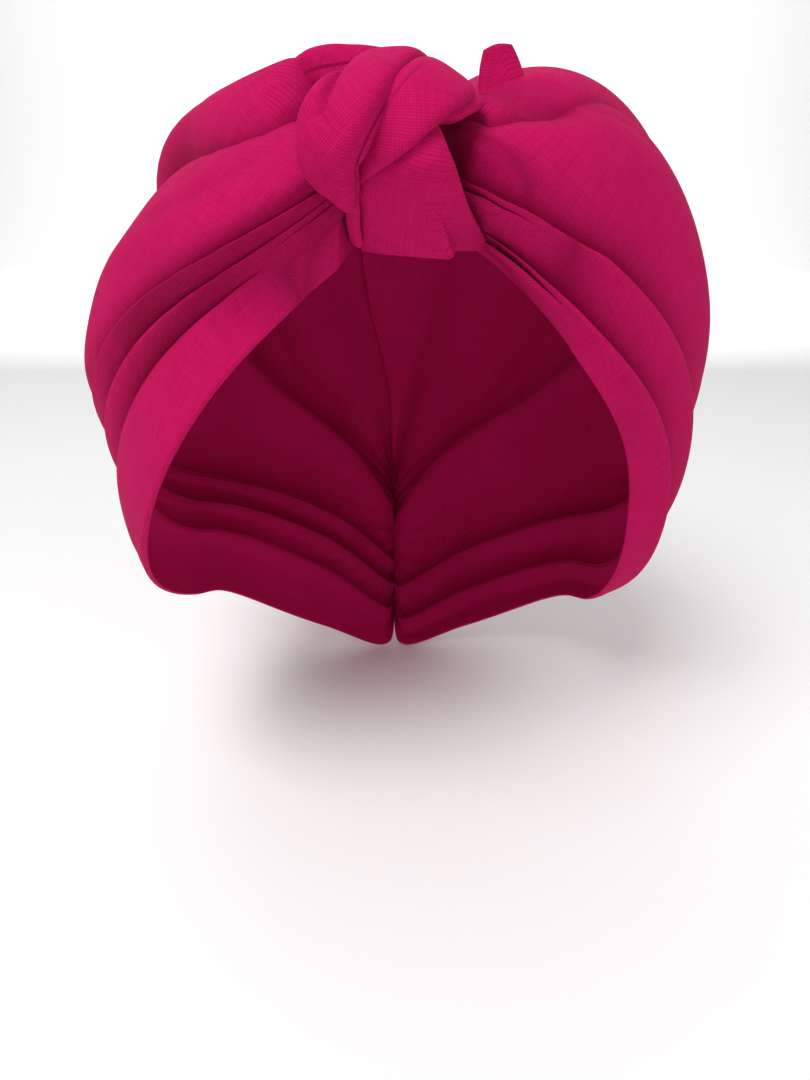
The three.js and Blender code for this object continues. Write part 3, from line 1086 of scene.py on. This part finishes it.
@dataclass
class Core(Piece):
    """The hidden windings under the knot: a funnel inside the ring where the wings end.

    Attributes:
        wings: The two wings, left and right.
        wall: Its thickness.
        middle: Rise of its middle as a share of the puff.
        clearance: Degrees between it and the wings.
        below: How far its rim lies under the wings' skin.
        front: Turns of the low stretch in front.
        front_reach: How far that reaches, as a share of the ring.
        front_rise: Its rise as a share of the puff.
        hole: Radius of the hole in its middle, as a share of the ring.
        shade: How dark the painted shade over it is, deep under the knot.
        rings: Rings of points from the middle out.
    """

    wings: tuple[Wing, ...] = ()
    wall: float = 2 * MM
    middle: float = 0.66
    clearance: float = 0.3
    below: float = 0.9 * MM
    front: Row = (-12, 0, 13, 26)
    front_reach: float = 1.0
    front_rise: float = 0.88
    hole: float = 0.02
    shade: float = 0.6
    rings: int = 40

    def patch(self) -> Patch:
        """The funnel's wall.

        Returns:
            The patch: loops from the hole in the inner face's middle out along the inner
            face and back over the outer one; rise = middle + (ring - below - middle)
            share^2.
        """
        end = np.array([self.wings[0].stations[0]], dtype=float)
        puff = self.wings[0].puff
        reach = end[0] - self.clearance
        parts = []
        for wing, order in zip(self.wings, (-1, 1)):
            turn, rise, _ = wing.section(end)
            later = np.minimum.accumulate(np.append(turn[0, 1:], HALF_TURN)[::-1])[::-1]
            kept = (turn[0] < HALF_TURN - self.clearance) & (turn[0] < later)
            column = np.stack([turn[0] * wing.side, rise[0]], axis=-1)[kept]
            parts.append(column[::order])
        low = np.array([(t, self.front_rise * puff) for t in self.front])
        rim = np.concatenate([parts[0], low, parts[1]])
        angle = np.full(len(rim), reach)
        first = len(parts[0])
        angle[first : first + len(low)] *= self.front_reach
        share = np.linspace(self.hole, 1, self.rings)
        profile = np.concatenate([share, share[::-1]])[:, None]
        sunk = np.repeat([0.0, self.wall], self.rings)[:, None]
        centre = self.middle * puff
        rise = centre + (rim[None, :, 1] - self.below - centre) * profile**2 - sunk
        d = AXIS.direction(profile * angle[None, :], np.broadcast_to(rim[:, 0], rise.shape))
        loops = HEAD.stand_off(d, rise)
        uv = np.stack([run_length(loops, 0), run_length(loops, 1)], axis=-1) / MM
        # The whole funnel carries painted shade
        return sleeve(loops, uv, np.full(rise.shape, self.shade))


# Cloth


class Value:
    """A number that a material works out at each point, with arithmetic."""

    def __init__(self, nodes: Nodes, socket: bpy.types.NodeSocket) -> None:
        """Holds an output of a node.

        Args:
            nodes: The maker of the nodes.
            socket: The output.
        """
        self.nodes = nodes
        self.socket = socket

    def math(self, operation: str, *inputs: Value | float) -> Value:
        """Applies a maths node.

        Args:
            operation: The node's operation.
            inputs: What goes in.

        Returns:
            The result.
        """
        filled = dict(enumerate(inputs))
        node = self.nodes.add("ShaderNodeMath", {"operation": operation}, filled)
        return self.nodes.value(node)

    def __add__(self, other: Value | float) -> Value:
        """This value and another added up."""
        return self.math("ADD", self, other)

    def __radd__(self, other: Value | float) -> Value:
        """Another value and this one added up."""
        return self.math("ADD", other, self)

    def __sub__(self, other: Value | float) -> Value:
        """This value less another."""
        return self.math("SUBTRACT", self, other)

    def __rsub__(self, other: Value | float) -> Value:
        """Another value less this one."""
        return self.math("SUBTRACT", other, self)

    def __mul__(self, other: Value | float) -> Value:
        """This value times another."""
        return self.math("MULTIPLY", self, other)

    def __rmul__(self, other: Value | float) -> Value:
        """Another value times this one."""
        return self.math("MULTIPLY", other, self)

    def __truediv__(self, other: Value | float) -> Value:
        """This value over another."""
        return self.math("DIVIDE", self, other)

    def __rtruediv__(self, other: Value | float) -> Value:
        """Another value over this one."""
        return self.math("DIVIDE", other, self)

    def floor(self) -> Value:
        """The whole number below."""
        return self.math("FLOOR", self)

    def fraction(self) -> Value:
        """What is left over the whole number below."""
        return self.math("FRACT", self)

    def greatest(self, other: Value | float) -> Value:
        """The larger of two values."""
        return self.math("MAXIMUM", self, other)

    def clipped(self) -> Value:
        """The value held between 0 and 1."""
        return self.math("MINIMUM", self.math("MAXIMUM", self, 0.0), 1.0)


class Nodes:
    """Adds nodes to a tree."""

    def __init__(self, tree: bpy.types.NodeTree) -> None:
        """Holds the tree.

        Args:
            tree: The node tree.
        """
        self.tree = tree

    def add(
        self,
        kind: str,
        settings: Optional[dict] = None,
        inputs: Optional[dict] = None,
    ) -> bpy.types.Node:
        """Adds a node.

        Args:
            kind: The node's type.
            settings: Its settings by name.
            inputs: What goes into its inputs, by name or number: a value or a constant.

        Returns:
            The node.
        """
        node = self.tree.nodes.new(kind)
        for name, setting in (settings or {}).items():
            setattr(node, name, setting)
        for name, given in (inputs or {}).items():
            if isinstance(given, Value):
                self.tree.links.new(given.socket, node.inputs[name])
            else:
                node.inputs[name].default_value = given
        return node

    def value(self, node: bpy.types.Node, output: int | str = 0) -> Value:
        """An output of a node.

        Args:
            node: The node.
            output: The output's number or name.

        Returns:
            The value.
        """
        return Value(self, node.outputs[output])

    def noise(self, vector: Value, scale: float, detail: float) -> Value:
        """Soft noise from 0 to 1.

        Args:
            vector: Where it is read.
            scale: Waves to the unit.
            detail: Finer layers.

        Returns:
            The value.
        """
        inputs = {"Vector": vector, "Scale": scale, "Detail": detail}
        return self.value(self.add("ShaderNodeTexNoise", None, inputs))

    def joined(self, x: Value, y: Value) -> Value:
        """A vector.

        Args:
            x: Its first part.
            y: Its second part.

        Returns:
            The vector, its third part 0.
        """
        return self.value(self.add("ShaderNodeCombineXYZ", None, {0: x, 1: y}))

    def bump(self, height: Value, depth: float, under: Optional[Value] = None) -> Value:
        """The normal of a surface raised by a height.

        Args:
            height: Height from 0 to 1.
            depth: What a height of 1 stands for, in metres.
            under: The normal that it is laid over, if there is one.

        Returns:
            The normal.
        """
        inputs = {"Height": height, "Strength": 1.0, "Distance": depth}
        if under is not None:
            inputs["Normal"] = under
        return self.value(self.add("ShaderNodeBump", None, inputs))

    def mix(self, share: Value, low: Value | tuple, high: Value | tuple) -> Value:
        """Mixes two colours.

        Args:
            share: Share of the second.
            low: The first colour.
            high: The second colour.

        Returns:
            The colour.
        """
        settings = {"data_type": "RGBA"}
        node = self.add("ShaderNodeMix", settings, {0: share, 6: low, 7: high})
        return self.value(node, 2)


def empty_material(name: str) -> tuple[bpy.types.Material, Nodes]:
    """A material with no nodes in it yet.

    Args:
        name: Its name.

    Returns:
        The material and the maker of its nodes.
    """
    made = bpy.data.materials.new(name)
    made.use_nodes = True
    made.node_tree.nodes.clear()
    return made, Nodes(made.node_tree)


def linear(red: int, green: int, blue: int) -> tuple[float, float, float, float]:
    """A screen colour as light.

    Args:
        red: 0 to 255.
        green: 0 to 255.
        blue: 0 to 255.

    Returns:
        Red, green, blue and 1. A share of 255 is over 12.92 where it is dark and else
        ((share + 0.055) / 1.055)^2.4.
    """
    shares = np.array([red, green, blue]) / 255
    light = np.where(shares < 0.04045, shares / 12.92, ((shares + 0.055) / 1.055) ** 2.4)
    return (*light.tolist(), 1.0)


@dataclass(frozen=True)
class Cotton:
    """Plain-weave cotton.

    Attributes:
        name: The material's name.
        main: Its colour.
        light: Colour of the raised threads, a painted highlight.
        deep: Colour between the threads, painted shade.
        crease: Colour of the painted shade deep in a crease.
        thread: Width of a thread in millimetres.
        waver: How far the threads wander, in threads along and across.
        waver_noise: Waves to the metre of that, and finer layers.
        slub: Length of a thick place in a thread, in millimetres.
        slub_layers: Finer layers of the slubs.
        apart: Threads between the slubs of the warp and those of the weft.
        slub_relief: Height of the slubs as a share of the weave's.
        relief: Depth of the weave in millimetres.
        crumple: Height of small crumples in millimetres.
        crumple_noise: Waves to the metre of the crumples, and finer layers.
        patch_noise: Waves to the metre of paler and darker patches, and finer layers.
        even: Share of the main colour, over the deep one, where the weave is lowest.
        by_height: How far that share follows the weave's height, as painted shade between the
            threads.
        by_slub: How far it follows the slubs.
        by_patch: How far it follows the patches.
        painted_highlight: Gain and start of the painted highlight on the raised threads, and
            the most of it.
        dusk: Share of the crease's colour, the painted shade, deep in a crease.
        roughness: How matte it is.
        rough_low: How much more matte it is between the threads.
        rough_patch: How far that follows the patches.
        sheen: How much nap shows at its edges.
        nap: How rough that nap is.
        shine: How much light its threads throw straight back.
    """

    name: str = "cotton"
    main: tuple[int, int, int] = (190, 10, 86)
    light: tuple[int, int, int] = (204, 32, 106)
    deep: tuple[int, int, int] = (142, 2, 56)
    crease: tuple[int, int, int] = (96, 0, 32)
    thread: float = 0.56
    waver: tuple[float, float] = (1.6, 1.1)
    waver_noise: tuple[float, float] = (90.0, 1.0)
    slub: float = 14.0
    slub_layers: float = 2.0
    apart: float = 57.0
    slub_relief: float = 0.45
    relief: float = 0.09
    crumple: float = 0.35
    crumple_noise: tuple[float, float] = (55.0, 4.0)
    patch_noise: tuple[float, float] = (22.0, 3.0)
    even: float = 0.36
    by_height: float = 0.45
    by_slub: float = 0.3
    by_patch: float = 0.25
    painted_highlight: tuple[float, float, float] = (1.6, 0.75, 0.6)
    dusk: float = 0.5
    roughness: float = 0.82
    rough_low: float = 0.14
    rough_patch: float = 0.1
    sheen: float = 0.08
    nap: float = 0.45
    shine: float = 0.06

    def weave(self, u: Value, v: Value) -> Value:
        """Height of the weave.

        Args:
            u: Place along the cloth in threads.
            v: Place across it in threads.

        Returns:
            0 to 1. Each thread is rounded, 1 - (2f - 1)^2, and passes over and under
            the threads that cross it in turn.
        """
        fu = u.fraction() * 2 - 1
        fv = v.fraction() * 2 - 1
        round_u = 1 - fu * fu
        round_v = 1 - fv * fv
        parity = ((u.floor() + v.floor()) * 0.5).fraction() * 4 - 1
        warp = round_v * (0.5 + 0.5 * (parity * round_u))
        weft = round_u * (0.5 - 0.5 * (parity * round_v))
        return warp.greatest(weft)

    def slubs(self, nodes: Nodes, u: Value, v: Value) -> Value:
        """Thick and thin places in the threads.

        Args:
            nodes: The maker of the nodes.
            u: Place along the cloth in millimetres.
            v: Place across it in millimetres.

        Returns:
            -1 to 1: noise drawn out along the warp + noise drawn out along the weft - 1.
        """
        warp = nodes.joined(u / self.slub, v / self.thread)
        weft = nodes.joined(u / self.thread + self.apart, v / self.slub)
        thick = [nodes.noise(way, 1.0, self.slub_layers) for way in (warp, weft)]
        return thick[0] + thick[1] - 1.0

    def colour(self, nodes: Nodes, height: Value, streaks: Value, patches: Value) -> Value:
        """The cloth's colour.

        Args:
            nodes: The maker of the nodes.
            height: Height of the weave.
            streaks: The slubs.
            patches: Paler and darker patches.

        Returns:
            Deep mixed with main by a share that rises with all three, the low weave getting
            painted shade; then with light, a painted highlight, where that share is high;
            then with the crease's colour, painted shade in the creases.
        """
        # Painted shade between the threads by the weave's height; the slubs and patches add
        # the cotton's own uneven tone
        share = height * self.by_height + self.even
        share = (share + streaks * self.by_slub + patches * self.by_patch).clipped()
        gain, start, most = self.painted_highlight
        # Painted highlight on the raised threads
        raised = (share * gain - start + streaks * self.by_slub).clipped() * most
        # Painted shade from the crease attribute: creases, wrinkles, grooves, tucks and the
        # knot's core
        named = {"attribute_name": PAINTED_SHADE_NAME}
        crease = nodes.value(nodes.add("ShaderNodeAttribute", named), "Fac")
        shade = (crease * self.dusk).clipped()
        mixed = nodes.mix(share, linear(*self.deep), linear(*self.main))
        mixed = nodes.mix(raised, mixed, linear(*self.light))
        return nodes.mix(shade, mixed, linear(*self.crease))

    def build(self) -> bpy.types.Material:
        """Makes the material.

        Returns:
            The material.
        """
        made, nodes = empty_material(self.name)
        cloth = nodes.value(nodes.add("ShaderNodeUVMap", {"uv_map": UV_NAME}))
        split = nodes.add("ShaderNodeSeparateXYZ", None, {0: cloth})
        u, v = nodes.value(split, 0), nodes.value(split, 1)
        place = nodes.value(nodes.add("ShaderNodeTexCoord"), "Object")
        waver = nodes.noise(place, *self.waver_noise) - 0.5
        height = self.weave(
            u / self.thread + waver * self.waver[0],
            v / self.thread + waver * self.waver[1],
        )
        streaks = self.slubs(nodes, u, v)
        patches = nodes.noise(place, *self.patch_noise) - 0.5
        low = (0.5 - height) * self.rough_low
        crumples = nodes.bump(nodes.noise(place, *self.crumple_noise), self.crumple * MM)
        relief = height + streaks * self.slub_relief
        inputs = {
            "Base Color": self.colour(nodes, height, streaks, patches),
            "Roughness": (self.roughness + low + patches * self.rough_patch).clipped(),
            "Normal": nodes.bump(relief, self.relief * MM, crumples),
            "Sheen Weight": self.sheen,
            "Sheen Roughness": self.nap,
            "Sheen Tint": linear(*self.light),
            "Specular IOR Level": self.shine,
        }
        surface = nodes.add("ShaderNodeBsdfPrincipled", None, inputs)
        nodes.add("ShaderNodeOutputMaterial", None, {"Surface": nodes.value(surface)})
        return made


# The studio


@dataclass(frozen=True)
class Lamp:
    """A square soft light.

    Attributes:
        name: Its name.
        place: Where it hangs, in metres.
        size: Its side.
        power: Its power in watts.
        aim: What it looks at.
    """

    name: str
    place: tuple[float, float, float]
    size: float
    power: float
    aim: tuple[float, float, float] = (0.0, 0.0, 0.02)

    def build(self) -> bpy.types.Object:
        """Hangs the lamp.

        Returns:
            The lamp.
        """
        light = bpy.data.lights.new(self.name, "AREA")
        light.size = self.size
        light.energy = self.power
        made = placed(self.name, light)
        made.location = self.place
        look = Vector(self.aim) - Vector(self.place)
        made.rotation_euler = look.to_track_quat("-Z", "Y").to_euler()
        return made


@dataclass(frozen=True)
class Studio:
    """A pale floor that curves up behind, soft lights and the camera.

    Attributes:
        floor: Height of the floor.
        reach: Half the floor's width.
        back: Distance to the curve.
        curve: Radius of the curve.
        steps: Steps round the curve.
        wall: Height of the wall behind.
        pale: Colour of the floor.
        matte: How matte the floor is.
        sky: Strength of the light from all round.
        camera: Place of the camera.
        dip: How far the camera looks down, in degrees.
        lens: Focal length in millimetres.
        picture: Width of the picture behind the lens, in millimetres.
        nearest: How near to the camera things still show.
        lamps: The lamps.
    """

    floor: float
    reach: float = 4.0
    back: float = 1.6
    curve: float = 1.0
    steps: int = 32
    wall: float = 3.0
    pale: tuple[int, int, int] = (246, 246, 246)
    matte: float = 0.9
    sky: float = 0.4
    camera: tuple[float, float, float] = (5.2 * MM, -257 * MM, 116 * MM)
    dip: float = 25.0
    lens: float = 36.04
    picture: float = 36.0
    nearest: float = 0.01
    lamps: tuple[Lamp, ...] = (
        Lamp("key", (-0.35, -0.6, 1.05), 0.6, 13.0),
        Lamp("fill", (0.9, -0.7, 0.45), 0.9, 3.0),
        Lamp("crown", (-0.2, 0.6, 1.2), 0.8, 1.6),
        Lamp("backdrop", (0.0, 0.7, 1.0), 1.2, 30.0, (0.0, 2.6, 0.9)),
    )

    def build(self) -> None:
        """Sets the stage."""
        turn = np.linspace(0, math.pi / 2, self.steps + 1)
        y = np.concatenate([[-self.reach], self.back + self.curve * np.sin(turn)])
        z = np.concatenate([[0.0], self.curve * (1 - np.cos(turn))])
        y = np.append(y, self.back + self.curve)
        z = np.append(z, self.wall) + self.floor
        rows = len(y)
        left = np.stack([np.full(rows, -self.reach), y, z], axis=-1)
        right = left * np.array([-1, 1, 1])
        k = np.arange(rows - 1)
        faces = np.stack([k, k + rows, k + rows + 1, k + 1], axis=-1)
        mesh = bpy.data.meshes.new("floor")
        mesh.from_pydata(np.concatenate([left, right]).tolist(), [], faces.tolist())
        mesh.polygons.foreach_set("use_smooth", np.ones(rows - 1, dtype=bool))
        mesh.materials.append(self.paper())
        floor = placed("floor", mesh)
        floor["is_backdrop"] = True
        for lamp in self.lamps:
            lamp.build()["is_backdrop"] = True
        self.light_sky()
        self.place_camera()
        LOG.info("studio: floor at %.0f mm", self.floor / MM)

    def paper(self) -> bpy.types.Material:
        """The floor's material.

        Returns:
            The material.
        """
        made, nodes = empty_material("paper")
        inputs = {"Base Color": linear(*self.pale), "Roughness": self.matte}
        surface = nodes.add("ShaderNodeBsdfPrincipled", None, inputs)
        nodes.add("ShaderNodeOutputMaterial", None, {"Surface": nodes.value(surface)})
        return made

    def light_sky(self) -> None:
        """Lights the scene evenly from all round."""
        world = bpy.data.worlds.new("sky")
        bpy.context.scene.world = world
        world.use_nodes = True
        world.node_tree.nodes.clear()
        nodes = Nodes(world.node_tree)
        inputs = {"Color": (1.0, 1.0, 1.0, 1.0), "Strength": self.sky}
        surface = nodes.add("ShaderNodeBackground", None, inputs)
        nodes.add("ShaderNodeOutputWorld", None, {"Surface": nodes.value(surface)})

    def place_camera(self) -> None:
        """Puts the camera where the picture was taken from."""
        camera = bpy.data.cameras.new("camera")
        camera.sensor_fit = "HORIZONTAL"
        camera.sensor_width = self.picture
        camera.lens = self.lens
        camera.clip_start = self.nearest
        made = placed("camera", camera)
        made.location = self.camera
        made.rotation_euler = (math.radians(90 - self.dip), 0, 0)
        bpy.context.scene.camera = made


# The headwrap

EDGE, RIDGE, CREASE = FoldKind.EDGE, FoldKind.RIDGE, FoldKind.CREASE

LEFT_FOLDS = (
    Fold(EDGE, (34, 58, 71, 76, 64, 4), (0.055, 0.055, 0.055, 0.055, 0.06, 0.06)),
    Fold(RIDGE, (29, 66, 79, 83, 73, 16), (0.25, 0.15, 0.15, 0.15, 0.15, 0.11)),
    Fold(RIDGE, (24, 72, 87, 89, 80, 26), (0.45, 0.21, 0.21, 0.19, 0.18, 0.15)),
    Fold(CREASE, (21, 76, 92, 94, 86, 36), (0.47, 0.17, 0.16, 0.14, 0.11, 0.08)),
    Fold(RIDGE, (19, 77, 96, 100, 93, 48), (0.57, 0.33, 0.33, 0.31, 0.25, 0.19)),
    Fold(CREASE, (19, 80, 98, 103, 98, 58), (0.56, 0.29, 0.26, 0.22, 0.15, 0.09)),
    Fold(RIDGE, (20, 80, 101, 107, 103, 68), (0.62, 0.46, 0.45, 0.38, 0.29, 0.21)),
    Fold(CREASE, (22, 82, 102, 110, 108, 78), (0.62, 0.43, 0.39, 0.30, 0.18, 0.10)),
    Fold(RIDGE, (24, 88, 106, 116, 116, 91), (0.72, 0.55, 0.56, 0.49, 0.35, 0.22)),
    Fold(RIDGE, (50, 106, 116, 128, 127, 107), (0.76, 0.62, 0.59, 0.57, 0.40, 0.25)),
    Fold(CREASE, (76, 125, 135, 143, 141, 122), (0.70, 0.55, 0.44, 0.40, 0.22, 0.11)),
    Fold(RIDGE, (104, 132, 142, 152, 152, 138), (0.87, 0.81, 0.85, 0.61, 0.41, 0.27)),
    Fold(RIDGE, (130, 152, 159, 165, 165, 155), (0.86, 0.75, 0.75, 0.55, 0.38, 0.24)),
    Fold(RIDGE, (160, 170, 172, 174, 174, 170), (0.53, 0.56, 0.58, 0.44, 0.30, 0.19)),
    Fold(EDGE, (190, 188, 186, 186, 181, 179), (0.53, 0.56, 0.58, 0.44, 0.28, 0.16)),
)

RIGHT_FOLDS = (
    Fold(EDGE, (84, 79, 87, 75, 64, 4), (0.055, 0.055, 0.08, 0.12, 0.08, 0.06)),
    Fold(RIDGE, (61, 79, 89, 79, 72, 16), (0.25, 0.21, 0.30, 0.30, 0.22, 0.12)),
    Fold(CREASE, (65, 84, 93, 84, 78, 28), (0.22, 0.15, 0.22, 0.23, 0.16, 0.08)),
    Fold(RIDGE, (50, 88, 98, 90, 86, 43), (0.53, 0.46, 0.51, 0.43, 0.32, 0.21)),
    Fold(CREASE, (55, 93, 104, 99, 93, 57), (0.45, 0.37, 0.44, 0.37, 0.22, 0.10)),
    Fold(RIDGE, (59, 99, 108, 105, 103, 73), (0.67, 0.70, 0.70, 0.55, 0.38, 0.22)),
    Fold(RIDGE, (69, 110, 114, 117, 117, 92), (0.72, 0.92, 0.84, 0.66, 0.42, 0.25)),
    Fold(CREASE, (80, 125, 129, 137, 135, 111), (0.70, 0.93, 0.93, 0.60, 0.28, 0.11)),
    Fold(RIDGE, (102, 137, 142, 148, 148, 130), (0.80, 0.97, 1.08, 0.72, 0.45, 0.27)),
    Fold(RIDGE, (130, 157, 160, 164, 163, 152), (0.68, 0.76, 0.88, 0.60, 0.38, 0.22)),
    Fold(RIDGE, (158, 170, 171, 173, 173, 169), (0.50, 0.48, 0.50, 0.36, 0.22, 0.15)),
    Fold(EDGE, (188, 186, 185, 185, 180, 179), (0.40, 0.45, 0.47, 0.33, 0.19, 0.14)),
)

LEFT_WRINKLES = (
    Wrinkle((10, 52), (30, 101), 6, -0.9, 2.4),
    Wrinkle((11, 72), (52, 112), 8, 1.0, 6.0, 2.0),
    Wrinkle((14, 60), (40, 104), 9, 0.8, 5.0, 2.0),
    Wrinkle((26, 127), (80, 140), 0, -3.2, 5.0, 2.0),
    Wrinkle((24, 140), (70, 150), 3, -1.1, 3.0),
    Wrinkle((60, 128), (118, 134), 4, -1.3, 3.4),
    Wrinkle((74, 120), (128, 121), -3, 1.0, 4.0, 2.0),
    Wrinkle((90, 147), (140, 150), 3, -1.2, 3.2),
    Wrinkle((86, 160), (132, 158), -2, 1.1, 4.5, 2.0),
    Wrinkle((34, 64), (84, 80), 2, -0.6, 2.6),
)
RIGHT_WRINKLES = (
    Wrinkle((12, 62), (50, 108), 14, 1.2, 6.0, 2.0),
    Wrinkle((4.5, 106), (20, 112), 0, -2.2, 9.0, 2.0),
    Wrinkle((11, 96), (36, 119), 6, -0.8, 2.6),
    Wrinkle((22, 146), (66, 152), 3, -1.1, 3.2),
    Wrinkle((58, 120), (112, 126), 3, -1.4, 3.4),
    Wrinkle((70, 110), (124, 108), -3, 1.1, 4.0, 2.0),
    Wrinkle((88, 142), (138, 143), 3, -1.2, 3.2),
    Wrinkle((80, 157), (130, 156), -2, 1.1, 4.5, 2.0),
    Wrinkle((30, 82), (74, 86), 2, -0.7, 2.4),
)

LEFT_LOBE = (
    (-0.28, -0.27, -0.20, 0.040, 0.040),
    (-0.31, -0.53, -0.11, 0.095, 0.080),
    (-0.36, -0.65, 0.03, 0.168, 0.118),
    (-0.33, -0.67, 0.18, 0.205, 0.130),
    (-0.24, -0.60, 0.32, 0.195, 0.118),
    (-0.12, -0.37, 0.44, 0.165, 0.100),
    (-0.02, -0.07, 0.51, 0.150, 0.090),
    (0.05, 0.36, 0.50, 0.150, 0.080),
    (0.06, 0.72, 0.40, 0.140, 0.070),
    (0.05, 0.88, 0.26, 0.110, 0.060),
)
MIDDLE_BAND = (
    (-0.27, -0.40, -0.09, 0.032, 0.026),
    (-0.17, -0.57, 0.04, 0.084, 0.047),
    (-0.03, -0.67, 0.18, 0.132, 0.058),
    (0.10, -0.57, 0.32, 0.163, 0.063),
    (0.22, -0.30, 0.41, 0.174, 0.068),
    (0.29, 0.13, 0.43, 0.158, 0.068),
    (0.30, 0.53, 0.36, 0.145, 0.062),
    (0.27, 0.80, 0.24, 0.110, 0.055),
)
UNDER_FOLD = (
    (0.15, -0.40, 0.26, 0.042, 0.032),
    (0.26, -0.33, 0.28, 0.068, 0.042),
    (0.38, -0.13, 0.33, 0.063, 0.042),
    (0.45, 0.13, 0.34, 0.042, 0.037),
)
SIDE_STRIP = (
    (-0.26, -0.42, -0.08, 0.024, 0.024),
    (-0.26, -0.37, -0.20, 0.040, 0.028),
    (-0.27, -0.13, -0.31, 0.042, 0.028),
    (-0.26, 0.13, -0.43, 0.040, 0.028),
)
TOP_FOLD = (
    (-0.61, 0.73, 0.46, 0.075, 0.080),
    (-0.54, 0.53, 0.51, 0.100, 0.110),
    (-0.41, 0.37, 0.53, 0.110, 0.118),
    (-0.26, 0.27, 0.52, 0.105, 0.112),
    (-0.11, 0.27, 0.51, 0.095, 0.100),
    (-0.02, 0.40, 0.46, 0.070, 0.075),
)
TAIL_TIP = (
    (0.64, 0.72, 0.24, 0.130, 0.040),
    (0.65, 0.76, 0.34, 0.160, 0.042),
    (0.64, 0.79, 0.46, 0.155, 0.042),
    (0.62, 0.81, 0.58, 0.130, 0.040),
    (0.60, 0.81, 0.69, 0.085, 0.032),
)
FRONT_TAB = (
    (0.12, -0.50, 0.24, 0.030, 0),
    (0.10, -0.61, 0.15, 0.100, 0),
    (0.07, -0.65, 0.08, 0.162, 0),
    (0.05, -0.65, 0.01, 0.220, 0),
    (0.04, -0.57, -0.06, 0.267, 0),
    (0.06, -0.40, -0.16, 0.296, 0),
    (0.10, -0.18, -0.28, 0.324, 0),
    (0.13, -0.02, -0.39, 0.356, 0),
    (0.16, 0.07, -0.48, 0.371, 0),
)


@dataclass
class Headwrap:
    """The whole headwrap.

    Attributes:
        finish: Its cloth.
        pieces: Its pieces.
    """

    finish: Cotton = Cotton()
    pieces: list[Piece] = field(default_factory=list)

    def __post_init__(self) -> None:
        """Lists the pieces."""
        gathers = (
            Pleats(count=13, height=0.22, near=10, far=34, wander=1.5),
            Pleats(count=22, height=0.5, near=166, far=132, wander=2.0),
        )
        left = Wing(
            "left_wing",
            Sheet((0.2, 0.27), "gathered"),
            side=-1,
            folds=LEFT_FOLDS,
            wrinkles=LEFT_WRINKLES,
            pleats=gathers,
            centre=9,
        )
        right = Wing(
            "right_wing",
            Sheet((0.2, 0.27), "gathered"),
            side=1,
            folds=RIGHT_FOLDS,
            wrinkles=RIGHT_WRINKLES,
            pleats=gathers,
            centre=6,
        )
        self.pieces = [left, right, *self.knot((left, right))]

    def knot(self, wings: tuple[Wing, Wing]) -> list[Piece]:
        """The pieces of the knot.

        Args:
            wings: The left and the right wing, which they lie on.

        Returns:
            The core, the tab and the bands.
        """
        pieces = [
            Core("knot_core", Sheet((0.044, 0.05), "gathered"), wings=wings),
            Tab("knot_front_tab", Sheet((0.03, 0.034), "folded"), grain=8, table=FRONT_TAB),
            Band(
                "knot_left_lobe",
                Sheet((0.025, 0.05), "folded"),
                grain=24,
                table=LEFT_LOBE,
                grooves=(
                    Groove(-0.63, -3.4, 0.6, 0.2, 0.32, 0.7),
                    Groove(-0.35, -2.8, -0.14, 0.4, 0.34, 0.62),
                    Groove(-0.78, 0.4, 0.14, 0.05, 0.04, 0.36),
                ),
            ),
            Band(
                "knot_middle_band",
                Sheet((0.018, 0.05), "folded"),
                grain=40,
                table=MIDDLE_BAND,
                grooves=(Groove(-0.55, 0.2, 0.12, 0.05, 0.2, 0.6),),
            ),
            Band("knot_under_fold", Sheet((0.01, 0.013), "folded"), table=UNDER_FOLD),
            Band("knot_side_strip", Sheet((0.01, 0.01), "folded"), table=SIDE_STRIP),
            Band(
                "knot_top_fold",
                Sheet((0.018, 0.025), "gathered"),
                table=TOP_FOLD,
                grooves=(Groove(0.1, 0.4, 0.6, 0.2, 0.05, 0.9),),
            ),
            Band(
                "tail_tip",
                Sheet((0.0125, 0.019), "folded"),
                table=TAIL_TIP,
                facing=(0.25, -1, 0.2),
            ),
        ]
        for piece in pieces:
            piece.sheet = replace(piece.sheet, rests_on=tuple(wing.name for wing in wings))
        return pieces

    def build(self) -> None:
        """Makes every piece."""
        cloth = self.finish.build()
        made = {piece.name: piece.build(cloth) for piece in self.pieces}


def corners() -> list[list[float]]:
    """The lowest and highest corner of what is shown.

    Returns:
        Two lists of three numbers.
    """
    return [list(corner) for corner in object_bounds()]


def main() -> None:
    """Builds the scene."""
    logging.basicConfig(level=logging.INFO, format="%(name)s: %(message)s")
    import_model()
    sizes = {"after_load": corners()}
    floor = sizes["after_load"][0][2]
    Headwrap().build()
    Studio(floor=floor - FLOOR_GAP).build()
    view = bpy.context.scene.view_settings
    view.view_transform = "Standard"
    sizes["before_finish"] = corners()


if __name__ == "__main__":
    main()
